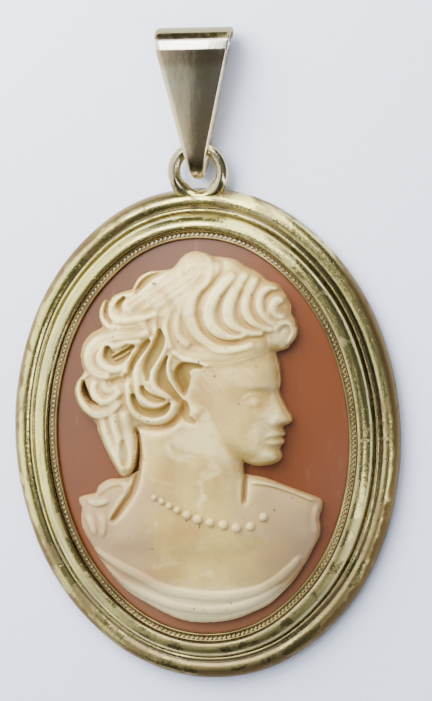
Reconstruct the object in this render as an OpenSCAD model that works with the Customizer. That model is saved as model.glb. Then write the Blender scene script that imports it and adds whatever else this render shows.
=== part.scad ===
/* [Oval frame] */
// Radius of the outer edge at the top and the bottom
radius_top = 14; // [13.6:0.05:14.4]
// Radius of the outer edge between the top and the sides
radius_mid = 20; // [19.6:0.05:20.4]
// Radius of the outer edge at the sides
radius_side = 26.25; // [25.5:0.05:27]
// Height of the outer roll above the back
roll_h = 1.75; // [1.6:0.05:1.9]
// Height of the inner moulding above the back
moulding_h = 2.95; // [2.7:0.05:3.2]
// Thickness of the stamped sheet at the setting wall
sheet_t = 0.45; // [0.4:0.05:0.5]

/* [Loop] */
// Radius of the loop at the middle of its wire
loop_r = 2.08; // [2.04:0.02:2.12]
// Radius of the loop's round wire
loop_wire_r = 0.54; // [0.48:0.02:0.56]
// Height of the loop's wire above the back
loop_z = 1.48; // [1.48:0.01:1.55]
// Distance from the frame's outer edge to the loop's middle
loop_reach = 1.4; // [1.3:0.05:1.5]

/* [Milled bezel] */
// Width of the half-round rib that the milling is cut into
rib_w = 0.4; // [0.3:0.02:0.44]
// Height of the bezel's flat strip above the back
bezel_h = 2.5; // [2.45:0.01:2.6]

/* [Cameo] */
// Height of the shell's edge above the back
shell_edge_h = 2.05; // [2:0.01:2.1]
// Rise of the ground from the edge to the middle
dome_rise = 2.05; // [1.6:0.05:2.4]
// Rise of the hollow under the shell
hollow_rise = 1.3; // [1:0.05:1.5]
// Height of the carved step at the figure's outline
carved_step = 0.5; // [0.3:0.05:0.7]
// Scale of the figure's relief above that step
relief_scale = 1.0; // [0.8:0.05:1.15]

/* [Bail] */
// Distance from the loop's top wire to the top of the bail's fold
bail_reach = 10.06; // [9.7:0.02:10.4]
// Distance from the loop's top wire to the bail's closed tip
tip_reach = 2.7; // [2.6:0.01:2.8]
// Thickness of the bail's sheet
bail_t = 0.43; // [0.38:0.01:0.48]
// Half of the slot between the bail's leaves at the loop
slot_half = 0.98; // [0.94:0.01:1]
// Outer radius of the bail's fold
fold_r = 1.54; // [1.5:0.02:1.6]

/* [Hidden] */
$fn = 48;

// The oval is eight arcs of three radii. They join on lines with these slopes, one near
// the side and one near the top, which keep every centre on a round number
side_joint = [0.936, 0.352];
top_joint = [0.6, 0.8];
mid_centre = [-(radius_mid - radius_top) * top_joint.x, (radius_side - radius_mid) * side_joint.y];
side_centre = mid_centre.x - (radius_side - radius_mid) * side_joint.x;
top_centre = mid_centre.y + (radius_mid - radius_top) * top_joint.y;
frame_half_w = side_centre + radius_side;
frame_half_h = top_centre + radius_top;
sector_reach = 50;

// Each arc: centre, radius, then the directions from its centre to its two ends
OVAL_ARCS = [
    [[side_centre, 0], radius_side, [side_joint.x, -side_joint.y], side_joint],
    [mid_centre, radius_mid, side_joint, top_joint],
    [[0, top_centre], radius_top, top_joint, [-top_joint.x, top_joint.y]],
    [[-mid_centre.x, mid_centre.y], radius_mid, [-top_joint.x, top_joint.y],
        [-side_joint.x, side_joint.y]],
    [[-side_centre, 0], radius_side, [-side_joint.x, side_joint.y], -side_joint],
    [-mid_centre, radius_mid, -side_joint, -top_joint],
    [[0, -top_centre], radius_top, -top_joint, [top_joint.x, -top_joint.y]],
    [[mid_centre.x, -mid_centre.y], radius_mid, [top_joint.x, -top_joint.y],
        [side_joint.x, -side_joint.y]]
];

// Places across the band, measured inwards from the outer edge
foot_in = 0.75;
rim_in = 1.45;
roll_in = 1.0;
step_in = 1.71;
step_r = 0.33;
step_z = roll_h - 0.03;
moulding_in = 3.05;
moulding_r = 1.0;
moulding_end = 72;
wall_in = 3.42;
seat_in = 4.45;
seat_z = 0.8;
seat_t = 0.4;

// The shell, inside the wall and above the seat
play = 0.05;
shell_half_w = frame_half_w - wall_in - 0.13;
shell_half_h = frame_half_h - wall_in - 0.13;
shell_ratio = shell_half_h / shell_half_w;
dome_r = (pow(shell_half_w, 2) + pow(dome_rise, 2)) / (2 * dome_rise);
dome_centre_z = shell_edge_h + dome_rise - dome_r;
shell_base_z = seat_z + play;
hollow_half_w = shell_half_w - 1.3;
hollow_r = (pow(hollow_half_w, 2) + pow(hollow_rise, 2)) / (2 * hollow_rise);
SHELL_SIDES = 64;
DOME_ROWS = 9;
HOLLOW_ROWS = 5;

// The bezel strip, over the shell's edge. Its underside slopes as the dome does
strip_out = wall_in + play;
strip_in = 4.15;
strip_out_base_z = shell_edge_h + 0.03;
strip_in_base_z = shell_edge_h + 0.22;
rib_in = 3.75;

loop_y = frame_half_h + loop_reach;
pivot_y = loop_y + loop_r;

// The jewel's middle, with its bail, is put on the origin, and its back lies on the ground plane
middle_y = (pivot_y + bail_reach - frame_half_h) / 2;

// The hair, neck and dress are drawn as they look from a little to one side. These are the drawing's axes
// and origin on the shell, and how far a place moves for each millimetre of its height above the back
drawn_x = [1.0075, 0.0557];
drawn_y = [-0.03, 0.991];
drawn_origin = [-0.54, -0.38];
drawn_lean = [0.2555, 0.1605];
outline_lift = 0.6;
lock_lift = 1.5;

// Outline of the figure: height up the cameo, then how far left and how far right it reaches there
FIGURE_LEFT = [[-16.05, -1.0], [-15.8, -2.5], [-15.1, -4.0], [-14.2, -5.5], [-13.2, -7.0],
    [-12.1, -8.1], [-11.0, -8.9], [-9.9, -9.6], [-8.8, -10.1], [-8.0, -10.6], [-7.2, -10.9],
    [-4.9, -11.0], [-4.5, -9.3], [-3.8, -9.2], [-3.3, -8.3], [-3.0, -7.4], [-2.2, -7.8],
    [-1.2, -8.2], [0, -8.7], [1.0, -9.1], [2.2, -9.6], [2.9, -10.3], [4.0, -10.7], [5.0, -10.6],
    [5.9, -9.9], [7.4, -10.1], [8.4, -9.8], [9.2, -9.2], [9.8, -8.3], [11.0, -8.3],
    [11.9, -7.9], [12.3, -6.5], [12.6, -5.4], [13.5, -4.7], [14.0, -4.0], [14.3, -2.0],
    [15.2, -1.2], [15.7, -0.5], [15.75, 0.1]];
BUST_RIGHT = [[-16.05, 0.2], [-15.8, 2.0], [-15.3, 3.5], [-14.6, 5.0], [-13.6, 6.2],
    [-12.6, 7.2], [-11.2, 8.2], [-10, 8.9], [-9, 9.5], [-6.0, 9.8], [-5.7, 9.3], [-5.1, 8.0],
    [-4.5, 6.5], [-3.7, 5.0], [-3.4, 3.4], [-2.9, 3.4]];
HAIR_RIGHT = [[7.1, 7.3], [7.7, 8.0], [8.4, 8.3], [9.3, 8.25], [10.0, 7.9], [10.8, 7.9],
    [12.1, 7.2], [12.6, 6.7], [12.9, 6.0], [13.4, 5.6], [13.8, 5.0], [14.2, 4.3], [14.8, 3.5],
    [15.1, 2.5], [15.5, 1.2], [15.75, 0.3]];

// The face is a plain classical one: equal thirds from the hairline to the brow, the nose and the chin
hairline_y = 7.7;
chin_y = -2;
face_line_x = 7;
face_third = (hairline_y - chin_y) / 3;
// Each row: thirds below the hairline, distance in front of the face line
FACE_PROFILE = [[0, -0.25], [0.45, 0.08], [0.9, 0.16], [1.12, 0.02], [1.45, 0.45], [1.75, 0.98],
    [1.86, 1.08], [1.95, 0.85], [2.03, 0.3], [2.22, 0.48], [2.3, 0.24], [2.38, 0.4], [2.46, 0.36],
    [2.57, 0.02], [2.7, 0.12], [2.82, 0.16], [2.93, -0.08], [3, -0.7]];

// Rounded masses of the relief: middle x, middle y, half length, half width, turn, height
MASSES = [
    [-0.2, 9.5, 9.3, 7.2, 0, 1.75],
    [2.9, 3.6, 6.6, 6.2, -15, 1.75],
    [2.4, 0.8, 5.4, 3.6, 20, 1.55],
    [-6.5, 5.4, 3.9, 5.6, 0, 1.55],
    [-6.6, -0.4, 1.7, 3.4, 0, 0.9],
    [-0.5, -3.1, 4.9, 7.5, 0, 1.3],
    [0.3, -9.9, 12.5, 7.4, 0, 1.35],
    [6.4, -7.9, 5.2, 5.0, -20, 1.25]
];

// Raised locks and folds: half width, extra height, then the points that the ridge runs through
RIDGES = [
    [1.5, 0.55, [[-1.2, 14.2], [0.2, 14.4], [1.5, 13.6], [1.3, 12.6]]],
    [1.2, 0.5, [[2.2, 14.4], [0.8, 12.4], [0.0, 10.4], [0.6, 8.8], [2.2, 7.6]]],
    [1.1, 0.5, [[3.6, 14.2], [2.4, 12.4], [1.7, 10.6], [2.2, 9.2], [3.8, 8.2]]],
    [1.1, 0.45, [[5.0, 13.4], [4.1, 11.8], [3.6, 10.2], [4.6, 8.7], [6.4, 8.3]]],
    [1.0, 0.45, [[6.6, 12.0], [6.0, 10.8], [6.4, 9.6], [7.4, 8.8]]],
    [1.2, 0.4, [[-3.2, 13.4], [-3.4, 11.6], [-2.8, 9.8], [-1.4, 8.0], [0.6, 6.6]]],
    [1.0, 0.4, [[-6.4, 11.9], [-7.4, 11.0], [-6.6, 9.9], [-4.6, 9.9]]],
    [1.1, 0.45, [[-4.6, 9.2], [-6.6, 9.2], [-8.8, 8.2], [-9.0, 6.6], [-7.2, 5.9]]],
    [0.9, 0.45, [[-8.6, 5.6], [-9.9, 4.6], [-9.8, 3.4], [-8.6, 2.4]]],
    [1.0, 0.5, [[-5.2, 8.4], [-6.2, 6.6], [-5.6, 4.4], [-5.4, 2.9], [-4.2, 1.9], [-2.8, 2.2]]],
    [0.8, 0.45, [[-3.6, 8.6], [-4.1, 7.0], [-4.4, 5.4], [-4.0, 4.0], [-3.1, 3.6]]],
    [0.8, 0.5, [[-2.4, 7.4], [-2.9, 6.0], [-2.5, 4.6], [-1.6, 3.2]]],
    [1.1, 0.4, [[-6.6, 1.8], [-7.2, 0.0], [-6.9, -2.0]]],
    [0.9, 0.35, [[-10.2, -5.0], [-8.8, -4.9], [-8.2, -6.2], [-9.4, -7.6]]],
    [0.9, 0.35, [[3.9, -4.4], [6.4, -5.0], [8.6, -6.2]]],
    [0.55, 0.4, [[-2.2, -6.4], [-0.7, -7.0], [1.4, -7.6], [3.7, -7.9], [4.8, -7.2]]],
    [0.9, 0.4, [[-9.6, -9.4], [-6.0, -11.6], [-2.0, -13.2], [2.0, -13.5], [5.5, -12.5], [7.6, -10.9]]],
    [0.9, 0.4, [[-8.2, -11.4], [-4.5, -13.9], [0, -14.9], [4.2, -14.1], [6.4, -12.8]]]
];

// Cut grooves: half width, depth, then the points that the groove runs through
GROOVES = [
    [0.7, 0.9, [[-5.9, 0.6], [-5.7, -1.6], [-6.3, -4.2], [-7.8, -6.4]]],
    [0.5, 0.7, [[3.5, -3.4], [3.3, -4.6], [3.2, -6.0]]],
    [0.9, 0.9, [[-7.4, 7.3], [-5.8, 7.8]]],
    [0.7, 0.9, [[-5.0, 6.2], [-4.9, 7.4], [-4.2, 8.2]]],
    [0.6, 0.9, [[-3.5, 4.6], [-3.2, 6.2]]],
    [0.9, 0.9, [[-1.3, 4.2], [-1.1, 5.7], [-0.2, 6.0]]],
    [0.5, 0.8, [[-5.2, 3.3], [-4.2, 2.8], [-3.2, 3.0]]]
];
// The soft grooves behind the jaw and at the eye, in place on the shell
FACE_GROOVES = [
    [0.6, 0.5, [[0.1, 3], [1.1, 1.8], [3.1, -0.4], [4.9, -1.6]]],
    [0.7, 0.4, [[3.7, 4.8], [5.1, 4.9], [6.1, 4.8]]]
];
groove_floor = 0.25;

// The relief is a net of rows up the cameo; each cell under it is five cells wide
FIGURE_ROWS = 88;
UNDER_CELLS = 7;
TOP_CELLS = 5 * UNDER_CELLS;
figure_gap = 0.04;

// The slot's closed end is a round one about the loop's wire
slot_end_r = slot_half + 0.01;

// Room left round the loop's wire inside the bail, over this half width
swing_room = 0.1;
swing_half_w = 1.35;
SWING_STEPS = 12;

// Bail outline: distance from the pivot, half width of the front leaf, half width of the back leaf
BAIL_OUTLINE = [[bail_reach, 3.3, 3.3], [bail_reach - 1.45, 3.2, 2.75], [0, 1.16, 0.8],
    [-1.4, 0.72, 0.68], [-2.3, 0.42, 0.42], [-tip_reach, 0.2, 0.2]];

// Points on an arc from angle a to angle b
function arc(centre, r, a, b, steps) =
    [for (i = [0:steps]) centre + r * [cos(a + (b - a) * i / steps), sin(a + (b - a) * i / steps)]];

// Height of the shell's ground at a place on the cameo
function ground_z(p) =
    dome_centre_z + sqrt(pow(dome_r, 2) - pow(p.x, 2) - pow(p.y / shell_ratio, 2));

// A place of the drawing, moved to where it lies on the shell
function placed(p, lift) =
    p.x * drawn_x + p.y * drawn_y + drawn_origin + (ground_z(p) + lift) * drawn_lean;
function placed_outline(rows) =
    [for (row = rows) let (p = placed([row[1], row[0]], outline_lift)) [p.y, p.x]];
function placed_lines(rows) =
    [for (row = rows) [row[0], row[1], [for (p = row[2]) placed(p, lock_lift)]]];

left_outline = placed_outline(FIGURE_LEFT);
bust_outline = placed_outline(BUST_RIGHT);
hair_outline = placed_outline(HAIR_RIGHT);
raised_lines = placed_lines(RIDGES);
cut_lines = concat(placed_lines(GROOVES), FACE_GROOVES);
figure_low = left_outline[0][0];
figure_high = left_outline[len(left_outline) - 1][0];

function face_x(y) = face_line_x + lookup((hairline_y - y) / face_third, FACE_PROFILE);
function left_x(y) = lookup(y, left_outline);
function right_x(y) =
    y < chin_y ? lookup(y, bust_outline) : y < hairline_y ? face_x(y) : lookup(y, hair_outline);

// Distance from a place to a stretch of a ridge, and to the whole ridge
function stretch_distance(p, a, b) =
    let (t = max(0, min(1, (p - a) * (b - a) / ((b - a) * (b - a))))) norm(p - a - t * (b - a));
function line_distance(p, points) =
    min([for (i = [0:len(points) - 2]) stretch_distance(p, points[i], points[i + 1])]);

function round_over(d) = d >= 1 ? 0 : sqrt(1 - d * d);
function soft_over(d) = d >= 1 ? 0 : pow(1 - d * d, 2);

function mass_height(p, m) =
    let (q = [p.x - m[0], p.y - m[1]],
         along = (q.x * cos(m[4]) + q.y * sin(m[4])) / m[2],
         across = (q.y * cos(m[4]) - q.x * sin(m[4])) / m[3])
    m[5] * round_over(norm([along, across]));
function ridge_height(p, r) = r[1] * soft_over(line_distance(p, r[2]) / r[0]);

function relief(p) =
    let (body = max([for (m = MASSES) mass_height(p, m)]),
         raised = max([for (r = raised_lines) ridge_height(p, r)]),
         cut = max([for (g = cut_lines) ridge_height(p, g)]))
    carved_step + relief_scale * max(groove_floor - carved_step, body + raised - cut);

// Sweeps a section round the oval: a whole ring for each arc, cut to that arc's sector
module swept_round_oval() {
    for (a = OVAL_ARCS)
        translate([a[0].x, a[0].y, 0]) intersection() {
            rotate_extrude() translate([a[1], 0]) mirror([1, 0]) children();
            translate([0, 0, -1]) linear_extrude(moulding_h + 2)
                polygon([[0, 0], sector_reach * a[2], sector_reach * a[3]]);
        }
}

// The stamped band's section: across from the outer edge, and up from the back
module band_section() {
    polygon(concat(
        [[rim_in, 0]],
        arc([foot_in, foot_in], foot_in, 270, 180, 5),
        arc([roll_in, roll_h - roll_in], roll_in, 176, 68, 9),
        arc([step_in, step_z], step_r, 172, 8, 6),
        arc([moulding_in, moulding_h - moulding_r], moulding_r, 178, moulding_end, 9),
        [[wall_in, bezel_h], [wall_in, seat_z], [seat_in, seat_z], [seat_in, seat_z - seat_t],
         [wall_in - sheet_t, seat_z - seat_t], [wall_in - sheet_t, moulding_h - 0.75],
         [2.7, moulding_h - 0.55], [2.4, moulding_h - 0.8], [2.2, roll_h - 0.2],
         [1.4, roll_h - 0.45], [1.0, roll_h - 0.42], [0.7, roll_h - 0.55], [0.5, 0.95],
         [0.45, 0.65], [0.62, 0.38], [rim_in, 0.35]]));
}

module frame() {
    color([0.72, 0.66, 0.42]) translate([0, -middle_y, 0]) {
        swept_round_oval() band_section();
        translate([0, loop_y, loop_z]) {
            rotate_extrude(angle = 284, start = -52) translate([loop_r, 0]) circle(r = loop_wire_r);
            for (side = [-1, 1])
                translate([side * 1.6, -1.45, -0.22]) sphere(r = 0.58);
        }
    }
}

module milled_bezel() {
    color([0.78, 0.76, 0.66]) translate([0, -middle_y, 0])
        swept_round_oval() polygon(concat(
            [[strip_out, strip_out_base_z], [strip_out, bezel_h]],
            arc([rib_in, bezel_h], rib_w / 2, 180, 0, 8),
            [[strip_in - 0.08, bezel_h + 0.04], [strip_in, bezel_h - 0.04], [strip_in, strip_in_base_z]]));
}

// A closed oval net from the rows of a half section, each [distance from the axis, height]
module oval_turned(rows, top_z, bottom_z, sides) {
    at = function(i, j) 1 + i * sides + (j % sides);
    last = len(rows) - 1;
    low_pole = 1 + len(rows) * sides;
    polyhedron(
        points = concat([[0, 0, top_z]],
            [for (row = rows) for (j = [0:sides - 1])
                [row[0] * cos(360 * j / sides), shell_ratio * row[0] * sin(360 * j / sides), row[1]]],
            [[0, 0, bottom_z]]),
        faces = concat(
            [for (j = [0:sides - 1]) [0, at(0, j + 1), at(0, j)]],
            [for (i = [0:last - 1]) for (j = [0:sides - 1])
                each [[at(i, j), at(i, j + 1), at(i + 1, j + 1)],
                      [at(i, j), at(i + 1, j + 1), at(i + 1, j)]]],
            [for (j = [0:sides - 1]) [low_pole, at(last, j), at(last, j + 1)]]));
}

// The shell's plain layer: an oval cap, hollowed underneath
module cameo_ground() {
    hollow_centre_z = shell_base_z + hollow_rise - hollow_r;
    dome_rows = [for (i = [1:DOME_ROWS])
        let (r = shell_half_w * i / DOME_ROWS) [r, dome_centre_z + sqrt(dome_r * dome_r - r * r)]];
    hollow_rows = [for (i = [HOLLOW_ROWS:-1:1])
        let (r = hollow_half_w * i / HOLLOW_ROWS)
        [r, hollow_centre_z + sqrt(hollow_r * hollow_r - r * r)]];
    color([0.72, 0.42, 0.24]) translate([0, -middle_y, 0])
        oval_turned(concat(dome_rows, [[shell_half_w, shell_base_z]], hollow_rows),
            shell_edge_h + dome_rise, shell_base_z + hollow_rise, SHELL_SIDES);
}

// The shell's pale layer: the carved bust, a net of points whose underside follows the ground
module cameo_figure() {
    row_y = [for (i = [0:FIGURE_ROWS]) figure_low + (figure_high - figure_low) * i / FIGURE_ROWS];
    top = [for (y = row_y) for (j = [0:TOP_CELLS])
        let (p = [left_x(y) + (right_x(y) - left_x(y)) * j / TOP_CELLS, y])
        [p.x, p.y, ground_z(p) + relief(p)]];
    under = [for (y = row_y) for (j = [0:UNDER_CELLS])
        let (p = [left_x(y) + (right_x(y) - left_x(y)) * j / UNDER_CELLS, y])
        [p.x, p.y, ground_z(p) + figure_gap]];
    first_under = len(top);
    top_at = function(i, j) i * (TOP_CELLS + 1) + j;
    under_at = function(i, j) first_under + i * (UNDER_CELLS + 1) + j;
    top_faces = [for (i = [0:FIGURE_ROWS - 1]) for (j = [0:TOP_CELLS - 1])
        each [[top_at(i, j), top_at(i + 1, j), top_at(i + 1, j + 1)],
              [top_at(i, j), top_at(i + 1, j + 1), top_at(i, j + 1)]]];
    under_faces = [for (i = [0:FIGURE_ROWS - 1]) for (j = [0:UNDER_CELLS - 1])
        each [[under_at(i, j), under_at(i + 1, j + 1), under_at(i + 1, j)],
              [under_at(i, j), under_at(i, j + 1), under_at(i + 1, j + 1)]]];
    side_faces = [for (i = [0:FIGURE_ROWS - 1])
        each [[top_at(i, 0), under_at(i, 0), under_at(i + 1, 0)],
              [top_at(i, 0), under_at(i + 1, 0), top_at(i + 1, 0)],
              [top_at(i, TOP_CELLS), top_at(i + 1, TOP_CELLS), under_at(i + 1, UNDER_CELLS)],
              [top_at(i, TOP_CELLS), under_at(i + 1, UNDER_CELLS), under_at(i, UNDER_CELLS)]]];
    low_end = [for (k = [0:UNDER_CELLS - 1])
        each concat([[under_at(0, k), top_at(0, 5 * k + 5), under_at(0, k + 1)]],
            [for (m = [0:4]) [under_at(0, k), top_at(0, 5 * k + m), top_at(0, 5 * k + m + 1)]])];
    high_end = [for (k = [0:UNDER_CELLS - 1])
        each concat([[under_at(FIGURE_ROWS, k), under_at(FIGURE_ROWS, k + 1),
                      top_at(FIGURE_ROWS, 5 * k + 5)]],
            [for (m = [0:4]) [under_at(FIGURE_ROWS, k), top_at(FIGURE_ROWS, 5 * k + m + 1),
                              top_at(FIGURE_ROWS, 5 * k + m)]])];
    color([0.93, 0.87, 0.76]) translate([0, -middle_y, 0])
        polyhedron(points = concat(top, under),
            faces = concat(top_faces, under_faces, side_faces, low_end, high_end));
}

// One leaf's outline seen from the front; column 1 is the front leaf and column 2 the back leaf
module leaf_outline(column) {
    polygon(concat([for (row = BAIL_OUTLINE) [row[column], row[0]]],
        [for (i = [len(BAIL_OUTLINE) - 1:-1:0]) [-BAIL_OUTLINE[i][column], BAIL_OUTLINE[i][0]]]));
}

// The folded strip from the side: distance from the pivot, and height from the pivot
module folded_strip() {
    fold_centre = [bail_reach - fold_r, fold_r - slot_half - bail_t];
    difference() {
        polygon(concat(
            [[0, -slot_half - bail_t]],
            arc(fold_centre, fold_r, -90, 90, 12),
            [[0, slot_half + bail_t], [-0.9, slot_half + bail_t - 0.1], [-1.7, 1.0], [-2.35, 0.5],
             [-tip_reach, 0], [-2.35, -0.5], [-1.7, -1.0], [-0.9, -slot_half - bail_t + 0.1]]));
        polygon(concat([[0, slot_half], [0, -slot_half]],
            arc(fold_centre, fold_r - bail_t, -90, 90, 12)));
    }
}

// The room that the loop's curved wire needs as the bail swings: a waisted barrel about the pivot
module swing_clearance() {
    hole_r = loop_r - loop_wire_r;
    waist = [for (i = [-SWING_STEPS:SWING_STEPS])
        let (x = swing_half_w * i / SWING_STEPS) [loop_r + swing_room - sqrt(hole_r * hole_r - x * x), x]];
    rotate([0, 90, 0]) rotate_extrude()
        polygon(concat([[0, -swing_half_w]], waist, [[0, swing_half_w]]));
}

module bail() {
    half_w = BAIL_OUTLINE[0][1];
    color([0.70, 0.67, 0.58]) translate([0, pivot_y - middle_y, loop_z]) difference() {
        intersection() {
            translate([-half_w, 0, 0]) rotate([90, 0, 90]) linear_extrude(2 * half_w) folded_strip();
            union() {
                linear_extrude(2 * fold_r) leaf_outline(1);
                translate([0, 0, -2 * fold_r]) linear_extrude(2 * fold_r) leaf_outline(2);
            }
        }
        rotate([0, 90, 0]) cylinder(r = slot_end_r, h = 2 * half_w, center = true);
        swing_clearance();
    }
}

frame();
milled_bezel();
cameo_ground();
cameo_figure();
bail();
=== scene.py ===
import math

import bmesh
import bpy
import numpy as np
from mathutils import Matrix, Vector


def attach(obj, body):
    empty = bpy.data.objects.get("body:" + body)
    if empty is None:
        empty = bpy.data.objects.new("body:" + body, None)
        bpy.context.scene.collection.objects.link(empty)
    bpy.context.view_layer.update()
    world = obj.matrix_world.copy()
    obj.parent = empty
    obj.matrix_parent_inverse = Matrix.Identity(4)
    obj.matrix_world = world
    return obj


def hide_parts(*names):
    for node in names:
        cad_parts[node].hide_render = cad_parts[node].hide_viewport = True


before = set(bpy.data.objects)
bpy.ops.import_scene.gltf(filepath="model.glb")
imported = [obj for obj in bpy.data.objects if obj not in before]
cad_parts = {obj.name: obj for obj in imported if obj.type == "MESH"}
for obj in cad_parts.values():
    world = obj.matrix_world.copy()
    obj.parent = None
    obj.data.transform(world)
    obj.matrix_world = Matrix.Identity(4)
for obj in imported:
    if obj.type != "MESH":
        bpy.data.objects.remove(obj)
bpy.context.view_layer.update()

# ---- Frame: stamped brass, gilded, worn and tarnished. The sheet is pressed into an outer roll, a thin
# step and an inner moulding, and turned up inside as the wall that the shell is set in. A round-wire
# loop is soldered on at the top.
MM = 0.001
OVAL_MIDDLE_Y = -6.77
SIDE_JOINT = (0.936, 0.352)
TOP_JOINT = (0.6, 0.8)
# One quarter of the oval: each arc's middle and radius, and the directions in which it begins and ends
OVAL_QUARTER = [((-9.45, 0.0), 26.25, (1.0, 0.0), SIDE_JOINT), ((-3.6, 2.2), 20.0, SIDE_JOINT, TOP_JOINT),
                ((0.0, 7.0), 14.0, TOP_JOINT, (0.0, 1.0))]
BAND_STATIONS, BAND_DENTS = 112, 0.06
# Grooves, darker along their line: distance in from the edge, and how far off the darkening ends and is full
GROOVES = [(1.56, 0.2, 0.06), (2.08, 0.14, 0.03), (3.42, 0.22, 0.08)]


def oval_line(inward, stations):
    """Points round the oval at a distance in from its edge, anticlockwise from the right, in mm."""
    quarter = []
    total = sum(r * math.acos(a[0] * b[0] + a[1] * b[1]) for _, r, a, b in OVAL_QUARTER)
    for (cx, cy), r, a, b in OVAL_QUARTER:
        turn_a, turn_b = math.atan2(a[1], a[0]), math.atan2(b[1], b[0])
        steps = max(2, round(stations * r * (turn_b - turn_a) / total))
        for t in np.linspace(turn_a, turn_b, steps, endpoint=False):
            quarter.append((cx + (r - inward) * math.cos(t), cy + (r - inward) * math.sin(t)))
    right_top = np.array(quarter)
    top = np.array([[0.0, OVAL_QUARTER[2][0][1] + OVAL_QUARTER[2][1] - inward]])
    upper = np.vstack([right_top, top, right_top[::-1] * (-1, 1)])
    return np.vstack([upper, -upper[1:-1]]) + (0.0, OVAL_MIDDLE_Y)


def arc_points(x, y, r, start, end, steps):
    return [(x + r * math.cos(t), y + r * math.sin(t)) for t in np.radians(np.linspace(start, end, steps))]


def put(name, data):
    """A new object in the scene, at the origin."""
    thing = bpy.data.objects.new(name, data)
    bpy.context.scene.collection.objects.link(thing)
    return thing


def mesh_piece(name, points_mm, faces, material=None, edges=()):
    """A smooth-shaded mesh object, from points in mm."""
    mesh = bpy.data.meshes.new(name)
    mesh.from_pydata((np.asarray(points_mm, float) * MM).tolist(), edges, faces)
    mesh.shade_smooth()
    if material:
        mesh.materials.append(material)
    return put(name, mesh)


def closed_line(name, points_mm):
    """A closed line of bare edges for a node tree to turn into a curve."""
    n = len(points_mm)
    return mesh_piece(name, points_mm, [], edges=[(i, (i + 1) % n) for i in range(n)])


def mark(piece, **values):
    """Keeps numbers at the points of a piece for its material to read."""
    for name, value in values.items():
        kept = piece.data.attributes.new(name, "FLOAT", "POINT")
        kept.data.foreach_set("value", np.broadcast_to(value, len(piece.data.vertices)).astype(np.float32))


class Tree:
    """Builds a node tree. Nodes are added with their settings first, then their socket values or links."""

    def __init__(self, nodes_tree):
        self.tree = nodes_tree

    def node(self, kind, settings=None, sockets=()):
        node = self.tree.nodes.new(kind)
        for name, value in (settings or {}).items():
            setattr(node, name, value)
        for key, value in sockets.items() if isinstance(sockets, dict) else enumerate(sockets):
            if isinstance(value, Socket):
                self.tree.links.new(value.socket, node.inputs[key])
            else:
                node.inputs[key].default_value = value
        return Socket(self, node.outputs[0] if node.outputs else None, node)


class Socket:
    """One output of a node, so that patterns can be written as sums."""

    def __init__(self, tree, socket, node):
        self.tree, self.socket, self.node = tree, socket, node

    def __getitem__(self, output):
        """Another output of the same node."""
        return Socket(self.tree, self.node.outputs[output], self.node)

    def maths(self, operation, *values):
        return self.tree.node("ShaderNodeMath", {"operation": operation}, values)

    def __add__(self, value):
        return self.maths("ADD", self, value)

    __radd__ = __add__

    def __sub__(self, value):
        return self.maths("SUBTRACT", self, value)

    def __rsub__(self, value):
        return self.maths("SUBTRACT", value, self)

    def __mul__(self, value):
        return self.maths("MULTIPLY", self, value)

    __rmul__ = __mul__

    def __abs__(self):
        return self.maths("ABSOLUTE", self)

    def between(self, low, high):
        """0 up to low, 1 from high on, and smooth between them."""
        return self.tree.node("ShaderNodeMapRange", {"interpolation_type": "SMOOTHSTEP"},
                              (self, low, high, 0.0, 1.0))


class Finish(Tree):
    """A material on Blender's Principled shader."""

    def __init__(self, name, **fixed):
        self.material = bpy.data.materials.new(name)
        self.material.use_nodes = True
        super().__init__(self.material.node_tree)
        self.shader = self.tree.nodes["Principled BSDF"]
        for socket, value in fixed.items():
            self.shader.inputs[socket.replace("_", " ")].default_value = value
        self.place = self.node("ShaderNodeTexCoord")["Object"]

    def noise(self, scale, detail=3.0, roughness=0.55, stretch=None, distortion=0.0, place=None):
        """Cloudy noise, with scale in features per metre, or per unit of another place."""
        place = place or self.place
        if stretch:
            place = self.node("ShaderNodeMapping", {}, {"Vector": place, "Scale": stretch})
        return self.node("ShaderNodeTexNoise", {}, {"Vector": place, "Scale": scale, "Detail": detail,
                                                    "Roughness": roughness, "Distortion": distortion})

    def lines(self, across, along, slice_at, detail, roughness):
        """Noise drawn out into lines that follow a piece, from places across and along it."""
        drawn = self.node("ShaderNodeCombineXYZ", {}, (across, along, slice_at))
        return self.noise(1.0, detail, roughness, place=drawn)

    def attribute(self, name):
        return self.node("ShaderNodeAttribute", {"attribute_name": name})["Fac"]

    def axis(self, name):
        return self.node("ShaderNodeSeparateXYZ", {}, (self.place,))[name]

    def feed(self, name, value):
        self.tree.links.new(value.socket, self.shader.inputs[name])

    def coats(self, colour, *over):
        """The base colour: a first colour with others laid over it, each given with its share."""
        for tint, share in over:
            first, second = ((*c, 1.0) if isinstance(c, tuple) else c for c in (colour, tint))
            colour = self.node("ShaderNodeMix", {"data_type": "RGBA"}, {0: share, 6: first, 7: second})[2]
        self.feed("Base Color", colour)

    def bump(self, height, strength, distance):
        self.feed("Normal", self.node("ShaderNodeBump", {}, {"Strength": strength, "Distance": distance,
                                                            "Height": height}))


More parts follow.
